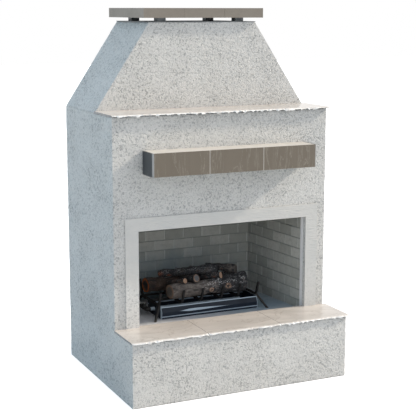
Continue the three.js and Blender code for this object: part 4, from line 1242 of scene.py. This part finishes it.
def log(
    name,
    node,
    settings,
    material,
    seed,
    burnt,
    girth,
    shift,
    knots=(),
    stubs=(),
    body="grate",
):
    """A log with furrowed bark, sawn ends and a burnt part.

    burnt gives the share of char at the log's two ends, girth what it gains round its left end, its middle
    and its right end, and shift how far its two ends move. A stub is a place, its radius and its height."""
    points, normals, faces = remeshed(node, settings.voxel)
    middle = points.mean(axis=0)
    axis = np.linalg.eigh(np.cov((points - middle).T))[1][:, -1]
    axis = axis * (1 if axis[0] > 0 else -1)
    along = (points - middle) @ axis
    share = (along - along.min()) / (along.max() - along.min())
    radial = (points - middle) - np.outer(along, axis)
    sawn, outward = sawn_ends(points, normals, along, axis)
    bark = 1 - sawn

    squeezed = (points - middle) - np.outer(along, axis) * 0.8
    ridge = 1 - np.abs(lumps(squeezed, 0.011, seed))
    furrow = np.clip(0.65 * ridge**2 + 0.35 * (0.5 + 0.5 * lumps(squeezed, 0.0055, seed + 1)), 0, 1)
    swell = 0.5 + 0.5 * lumps(points, 0.05, seed + 2)
    gnarl = lumps(points, 0.042, seed + 5) + 0.5 * lumps(points, 0.02, seed + 6)
    hollow = (1 - furrow) * (1 - 0.75 * sawn) + 0.35 * swell
    raised = settings.gnarl * gnarl * bark - settings.depth * hollow
    for place, radius, height in stubs:
        raised += height * bark * np.exp(-((np.linalg.norm(points - place, axis=1) / radius) ** 2))
    gain = np.interp(share, (0.0, 0.5, 1.0), girth) / np.percentile(np.linalg.norm(radial, axis=1), 90)
    moved = points + normals * raised[:, None] + radial * gain[:, None]
    moved += np.outer(1 - share, shift[0]) + np.outer(share, shift[1])

    char = burnt[0] + (burnt[1] - burnt[0]) * soft_step(share, 0.2, 0.75)
    values = {
        "sawn": sawn,
        "outward": outward,
        "furrow": furrow,
        "burnt": char + 0.25 * lumps(points, 0.07, seed + 3),
        "knot": knot_marks(points, knots, seed + 4),
    }
    return add_piece(name, moved, faces, material, [node], body, values)


# Operators, panel and main function


class FIREPLACE_OT_stage(bpy.types.Operator):
    """Adds the floor, the lamps, the surroundings and the camera"""

    bl_idname = "fireplace.stage"
    bl_label = "Stage"

    def execute(self, context):
        settings = context.scene.fireplace_stage
        self.add_camera(context)
        self.add_key(context, settings)
        self.fill_world(context, settings)
        self.add_floor(context)
        context.scene.view_settings.view_transform = "Standard"
        return {"FINISHED"}

    def add_camera(self, context):
        """Puts the camera where the photograph was taken."""
        data = bpy.data.cameras.new("photo_camera")
        data.lens = LENS
        data.sensor_width = SENSOR
        camera = bpy.data.objects.new("photo_camera", data)
        camera.location = CAMERA_PLACE
        camera.rotation_euler = Euler([math.radians(turn) for turn in CAMERA_TURNS])
        context.scene.collection.objects.link(camera)
        context.scene.camera = camera

    def add_key(self, context, settings):
        """Adds the low lamp from the right."""
        data = bpy.data.lights.new("key_lamp", "SUN")
        data.energy = settings.key
        data.angle = settings.softness
        data.color = settings.lamp[:3]
        lamp = bpy.data.objects.new("key_lamp", data)
        lamp.rotation_euler = Vector(LAMP_WAY).to_track_quat("-Z", "Y").to_euler()
        lamp.location = (5.0, -3.0, 5.0)  # a sun lamp shines the same from any place
        context.scene.collection.objects.link(lamp)

    def fill_world(self, context, settings):
        """Lights the scene from all round, before a white backdrop."""
        world = bpy.data.worlds.new("surroundings")
        world.use_nodes = True
        context.scene.world = world
        wires = Wires(world.node_tree)
        fill = world.node_tree.nodes["Background"]
        sight = wires.node("ShaderNodeTexCoord").outputs["Generated"]
        facing = wires.vector("DOT_PRODUCT", sight, FILL_WAY, result="Value")
        around = wires.sloped(facing, 0.5, 0.5, clamp=True)
        wires.feed(fill.inputs["Color"], wires.blend(around, settings.sky, settings.ahead))
        fill.inputs["Strength"].default_value = settings.fill
        backdrop = wires.node("ShaderNodeBackground", {"Color": WHITE, "Strength": 1.0})
        mixed = wires.node(
            "ShaderNodeMixShader", {0: wires.seen_rays(), 1: fill.outputs[0], 2: backdrop.outputs[0]}
        )
        wires.feed(world.node_tree.nodes["World Output"].inputs["Surface"], mixed.outputs[0])

    def add_floor(self, context):
        """Lays the white studio floor just under the walls."""
        ways = ((-1, -1), (1, -1), (1, 1), (-1, 1))
        corners = [(FLOOR_REACH * x, FLOOR_REACH * y, -FLOOR_GAP) for x, y in ways]
        mesh = bpy.data.meshes.new("studio_floor")
        mesh.from_pydata(corners, [], [(0, 1, 2, 3)])
        floor = bpy.data.objects.new("studio_floor", mesh)
        context.scene.collection.objects.link(floor)
        material, wires, shader = new_finish("Studio floor", Roughness=0.9)
        speckle = wires.noise(wires.point(), 3.0, 2.0, 0.5)
        pale = wires.blend(speckle, *((tone, tone, tone, 1.0) for tone in FLOOR_TONES))
        wires.feed(shader.inputs["Base Color"], pale)
        glow = wires.node("ShaderNodeEmission", {"Color": WHITE, "Strength": FLOOR_GLOW})
        lit = wires.node("ShaderNodeAddShader", {0: shader.outputs[0], 1: glow.outputs[0]})
        mixed = wires.node(
            "ShaderNodeMixShader", {0: wires.seen_rays(), 1: shader.outputs[0], 2: lit.outputs[0]}
        )
        wires.feed(material.node_tree.nodes["Material Output"].inputs["Surface"], mixed.outputs[0])
        mesh.materials.append(material)


class FIREPLACE_OT_stucco(bpy.types.Operator):
    """Coats the walls and the hood with dashed stucco"""

    bl_idname = "fireplace.stucco"
    bl_label = "Stucco coats"

    def execute(self, context):
        settings = context.scene.fireplace_stucco
        stucco = stucco_finish("Dashed stucco", settings, pit_shade_amount=0.62, relief=0.0135)
        points, towards, corner, made = coats(wall_faces(settings), settings.relief)
        for wall, quads in made.items():
            own, faces = rimmed(points, towards, corner, quads, settings.rim)
            add_piece(f"stucco_{wall}", own, faces, stucco, [f"{wall}_panel"])
        return {"FINISHED"}


class FIREPLACE_OT_slabs(bpy.types.Operator):
    """Cuts the hearth tiles and the ledge with their chipped edges"""

    bl_idname = "fireplace.slabs"
    bl_label = "Stone slabs"

    def execute(self, context):
        settings = context.scene.fireplace_stone
        stone = stone_finish("Cream stone", settings)
        half, _ = nodes_inner_edge("front_wall_panel")
        for number in (1, 2, 3):
            slab(f"hearth_stone_{number}", f"hearth_tile_{number}", settings, stone, 10 * number, half)
        slab("ledge_stone", "ledge_slab", settings, stone, 50)
        return {"FINISHED"}


class FIREPLACE_OT_tiles(bpy.types.Operator):
    """Gives the mantel and the cap their porcelain tiles and trims"""

    bl_idname = "fireplace.tiles"
    bl_label = "Mantel and cap tiles"

    def execute(self, context):
        tile, steel = context.scene.fireplace_tile, context.scene.fireplace_steel
        joints = [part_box(f"mantel_face_tile_{i}")[1].x for i in (1, 2)]
        face = tile_finish("Mantel tile", tile, tile.face, (2.6, 1.0, 0.4), 4.0, 0.5, joints)
        # The end tiles get a darker copy of the tile: painted shade.
        end = tile_finish("Mantel end tile", tile, tile.end, (1.0, 2.6, 0.4), 4.0, 0.1)
        crown = tile_finish("Cap tile", tile, tile.crown, (1.2, 1.2, 1.0), 5.0, 0.12)
        top = tile_finish("Mantel top tile", tile, tile.top, (0.8, 1.4, 1.0), 5.0, 0.15)
        upright = (1.0, 1.0, 0.05)
        trim = steel_finish("Corner trim", dimmed(steel.trim, 0.4), steel.trim, 0.5, 0.45, 0.3, upright)
        dress(face, *(f"mantel_face_tile_{i}" for i in (1, 2, 3)))
        dress(end, *(f"mantel_end_tile_{side}" for side in SIDES))
        dress(top, "mantel_top_tile")
        dress(crown, *(f"cap_{face}_tile_{i}" for face in ("front", "back") for i in (1, 2, 3)))
        dress(crown, *(f"cap_end_tile_{side}" for side in SIDES))
        dress(trim, *(f"mantel_corner_trim_{side}" for side in SIDES))
        board = board_finish("Cement board", tile.board)
        dress(board, "mantel_beam", "cap_core", "hearth_deck", "ledge_deck")
        return {"FINISHED"}


class FIREPLACE_OT_surround(bpy.types.Operator):
    """Plasters the surround and coats the opening's trim"""

    bl_idname = "fireplace.surround"
    bl_label = "Surround"

    def execute(self, context):
        scene = context.scene
        plaster = plaster_finish("Smooth plaster", scene.fireplace_plaster, scene.fireplace_stucco)
        dress(plaster, "plaster_surround")
        dress(steel_finish("Coated trim", WHITE, WHITE, 0.0, 0.5, 0.15, wear=0.2), "opening_trim")
        return {"FINISHED"}


class FIREPLACE_OT_firebox(bpy.types.Operator):
    """Finishes the brick panels, the floor and the shell of the firebox"""

    bl_idname = "fireplace.firebox"
    bl_label = "Firebox"

    def execute(self, context):
        brick, steel = context.scene.fireplace_brick, context.scene.fireplace_steel
        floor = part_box("firebox_floor")[1].z
        soot_and_shade_centre = (-0.1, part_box("firebox_back_wall")[0].y, floor + 0.05)
        for node, panel in BRICK_PANELS.items():
            name = node.replace("_", " ").capitalize()
            dress(brick_finish(name, brick, *panel, floor, soot_and_shade_centre), node)
        # The floor's darkening is centred to the right, deepest in shade: painted shade as well as soot.
        dress(cast_floor_finish("Firebox floor", brick, (0.4, 0.0, floor)), "firebox_floor")
        shell = steel_finish("Firebox shell", dimmed(steel.zinc, 0.5), steel.zinc, 0.8, 0.5, 0.5)
        dress(shell, "firebox_shell")
        return {"FINISHED"}


class FIREPLACE_OT_metalwork(bpy.types.Operator):
    """Finishes the frame, the lid, the flue, the posts, the gas line and the grate"""

    bl_idname = "fireplace.metalwork"
    bl_label = "Metalwork"

    def execute(self, context):
        steel = context.scene.fireplace_steel
        drawn = (0.1, 1.0, 1.0)
        zinc = steel_finish("Galvanised steel", steel.zinc, WHITE, 0.9, 0.42, 0.5)
        lid = steel_finish("Hood lid", dimmed(steel.zinc, 0.45), steel.zinc, 0.6, 0.5, 0.5)
        posts = steel_finish("Cap post", dimmed(steel.zinc, 0.55), steel.zinc, 0.3, 0.5, 0.4)
        bare = steel_finish("Bare steel", steel.bare, WHITE, 1.0, 0.3, 0.4, drawn)
        # The tube takes the painted highlight colour: a painted reflection that makes it bright in the shade
        # of the logs.
        tube = steel_finish("Burner tube", steel.painted_glint, WHITE, 0.2, 0.35, 0.3, drawn)
        valve = steel_finish("Valve body", dimmed(steel.bare, 0.06), steel.bare, 0.3, 0.5, 0.4)
        black = steel_finish("Black paint", steel.black, steel.rust, 0.0, 0.6, 0.4, wear=0.12)
        pipe = steel_finish("Black pipe", steel.black, steel.bare, 0.0, 0.45, 0.4, wear=0.3)
        dress(zinc, "steel_frame", "flue_pipe")
        dress(lid, "hood_lid")
        dress(posts, *(f"cap_post_{end}_{side}" for end in ("front", "rear") for side in SIDES))
        dress(pan_finish("Blued steel", steel, *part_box("burner_pan")), "burner_pan")
        dress(bare, "gas_valve_lever")
        dress(tube, "burner_tube")
        dress(valve, "gas_valve")
        dress(black, "log_grate")
        dress(pipe, "gas_pipe")
        return {"FINISHED"}


class FIREPLACE_OT_logs(bpy.types.Operator):
    """Makes the bark and the sawn ends of the seven logs"""

    bl_idname = "fireplace.logs"
    bl_label = "Logs"

    def execute(self, context):
        settings = context.scene.fireplace_log
        self.grate_logs(settings)
        self.twigs(settings)
        self.top_logs(settings)
        return {"FINISHED"}

    def grate_logs(self, settings):
        """The two long logs that rest in the grate."""
        bark, dark, tan = settings.bark, settings.dark, settings.wood
        rim, knot = dimmed(tan, 0.45), dimmed(tan, 1.3)
        amounts = {"core": 0.2, "scale": 0.12, "ash": 1.0, "ember": 0.1}
        pale = log_finish(
            "Front log", settings, bark, dimmed(bark, 0.6), dimmed(bark, 0.75), rim, knot, **amounts
        )
        log(
            "log_front",
            "front_log",
            settings,
            pale,
            101,
            burnt=(-0.1, 0.8),
            girth=(-0.004, -0.012, 0.004),
            shift=((0.012, 0, 0.009), (0, 0, 0.005)),
            knots=(
                ((0.013, -0.078, 0.54), 0.014, 0.005),
                ((0.139, -0.08, 0.558), 0.019, 0.005),
                ((0.13, -0.08, 0.56), 0.0, 0.008),
            ),
            stubs=(((0.3, -0.03, 0.6), 0.045, 0.01), ((0.31, -0.02, 0.64), 0.02, 0.012)),
        )
        amounts = {"core": 0.7, "scale": 0.05, "ember": 0.15}
        old, ember = dimmed(dark, 0.6), settings.ember
        brown = log_finish("Rear log", settings, dark, old, dark, ember, tan, **amounts)
        log(
            "log_rear",
            "rear_log",
            settings,
            brown,
            111,
            burnt=(0.0, 0.6),
            girth=(0, 0, 0),
            shift=((0.012, 0, 0.022), (0, 0, 0.008)),
        )

    def twigs(self, settings):
        """The short logs between and beside the long ones."""
        dark, black, tan, ash = settings.dark, settings.char, settings.wood, settings.ash
        amounts = {"core": 0.0, "scale": 0.15, "ash": 0.4, "ember": 0.4}
        pale = log_finish("Pale ended twig", settings, dark, black, tan, tan, tan, **amounts)
        wood, rim = dimmed(ash, 0.5), dimmed(tan, 0.6)
        ashy = log_finish("Ashy twig", settings, dimmed(dark, 0.7), black, wood, rim, ash, scale=0.1)
        log(
            "log_middle",
            "middle_log",
            settings,
            ashy,
            121,
            burnt=(0.6, 0.7),
            girth=(0.004, 0.004, 0.005),
            shift=((0, 0, 0), (0, 0, -0.008)),
        )
        log(
            "log_twig_left",
            "twig_left",
            settings,
            pale,
            131,
            burnt=(0.0, 0.3),
            girth=(0.002, 0.002, 0.002),
            shift=((0, 0, 0), (0, 0, -0.011)),
        )
        log(
            "log_twig_right",
            "twig_right",
            settings,
            pale,
            141,
            burnt=(0.6, 0.4),
            girth=(0.002, 0.002, 0.002),
            shift=((0, 0, 0), (0, 0, -0.014)),
        )

    def top_logs(self, settings):
        """The two loose logs on top."""
        bark, black, orange = settings.bark, settings.char, dimmed(settings.ember, 1.6)
        grey = dimmed(bark, 0.6)
        amounts = {"scale": 0.45, "ash": 0.4, "ember": 0.1}
        scaly = log_finish("Scaly log", settings, dimmed(bark, 0.25), black, black, black, orange, **amounts)
        log(
            "log_top_left",
            "top_left_log",
            settings,
            scaly,
            151,
            burnt=(0.4, 0.6),
            girth=(0.001, 0.007, 0.004),
            shift=((0, 0, 0), (0, 0, -0.006)),
            knots=(((-0.268, 0.165, 0.636), 0.0, 0.018), ((-0.208, 0.14, 0.615), 0.0, 0.014)),
            stubs=(
                ((-0.1, 0.15, 0.67), 0.05, 0.005),
                ((-0.06, 0.1, 0.68), 0.016, 0.013),
                ((0.01, 0.06, 0.69), 0.05, 0.005),
                ((0.03, 0.07, 0.7), 0.014, 0.012),
                ((-0.2, 0.2, 0.65), 0.03, 0.004),
            ),
            body="top_left_log",
        )
        amounts = {"core": 0.1, "scale": 0.25, "ash": 0.3}
        fuzzy = log_finish("Grey log", settings, dimmed(bark, 0.85), black, grey, grey, grey, **amounts)
        log(
            "log_top_right",
            "top_right_log",
            settings,
            fuzzy,
            161,
            burnt=(1.2, -0.2),
            girth=(0.004, 0, 0.003),
            shift=((0.055, -0.02, 0.038), (0, 0, -0.003)),
            body="top_right_log",
        )


class FIREPLACE_PT_dressing(bpy.types.Panel):
    """Lists the settings and the steps of the dressing"""

    bl_idname = "FIREPLACE_PT_dressing"
    bl_label = "Fireplace dressing"
    bl_space_type = "VIEW_3D"
    bl_region_type = "UI"
    bl_category = "Fireplace"

    def draw(self, context):
        for operator in OPERATORS:
            self.layout.operator(operator.bl_idname)
        for name, kind in GROUPS.items():
            box = self.layout.box()
            box.label(text=kind.__doc__)
            settings = getattr(context.scene, name)
            for field in kind.__annotations__:
                box.prop(settings, field)


OPERATORS = (
    FIREPLACE_OT_stage,
    FIREPLACE_OT_stucco,
    FIREPLACE_OT_slabs,
    FIREPLACE_OT_tiles,
    FIREPLACE_OT_surround,
    FIREPLACE_OT_firebox,
    FIREPLACE_OT_metalwork,
    FIREPLACE_OT_logs,
)


def register():
    """Registers the settings, the operators and the panel."""
    for kind in (*GROUPS.values(), *OPERATORS, FIREPLACE_PT_dressing):
        bpy.utils.register_class(kind)
    for name, kind in GROUPS.items():
        setattr(bpy.types.Scene, name, bpy.props.PointerProperty(type=kind))


def unregister():
    """Takes them out again."""
    for name in GROUPS:
        delattr(bpy.types.Scene, name)
    for kind in reversed((*GROUPS.values(), *OPERATORS, FIREPLACE_PT_dressing)):
        bpy.utils.unregister_class(kind)


def dress_fireplace():
    """Runs every step in order."""
    register()
    build_effects()
    bpy.ops.fireplace.stage()
    bpy.ops.fireplace.stucco()
    bpy.ops.fireplace.slabs()
    bpy.ops.fireplace.tiles()
    bpy.ops.fireplace.surround()
    bpy.ops.fireplace.firebox()
    bpy.ops.fireplace.metalwork()
    bpy.ops.fireplace.logs()


if __name__ == "__main__":
    dress_fireplace()
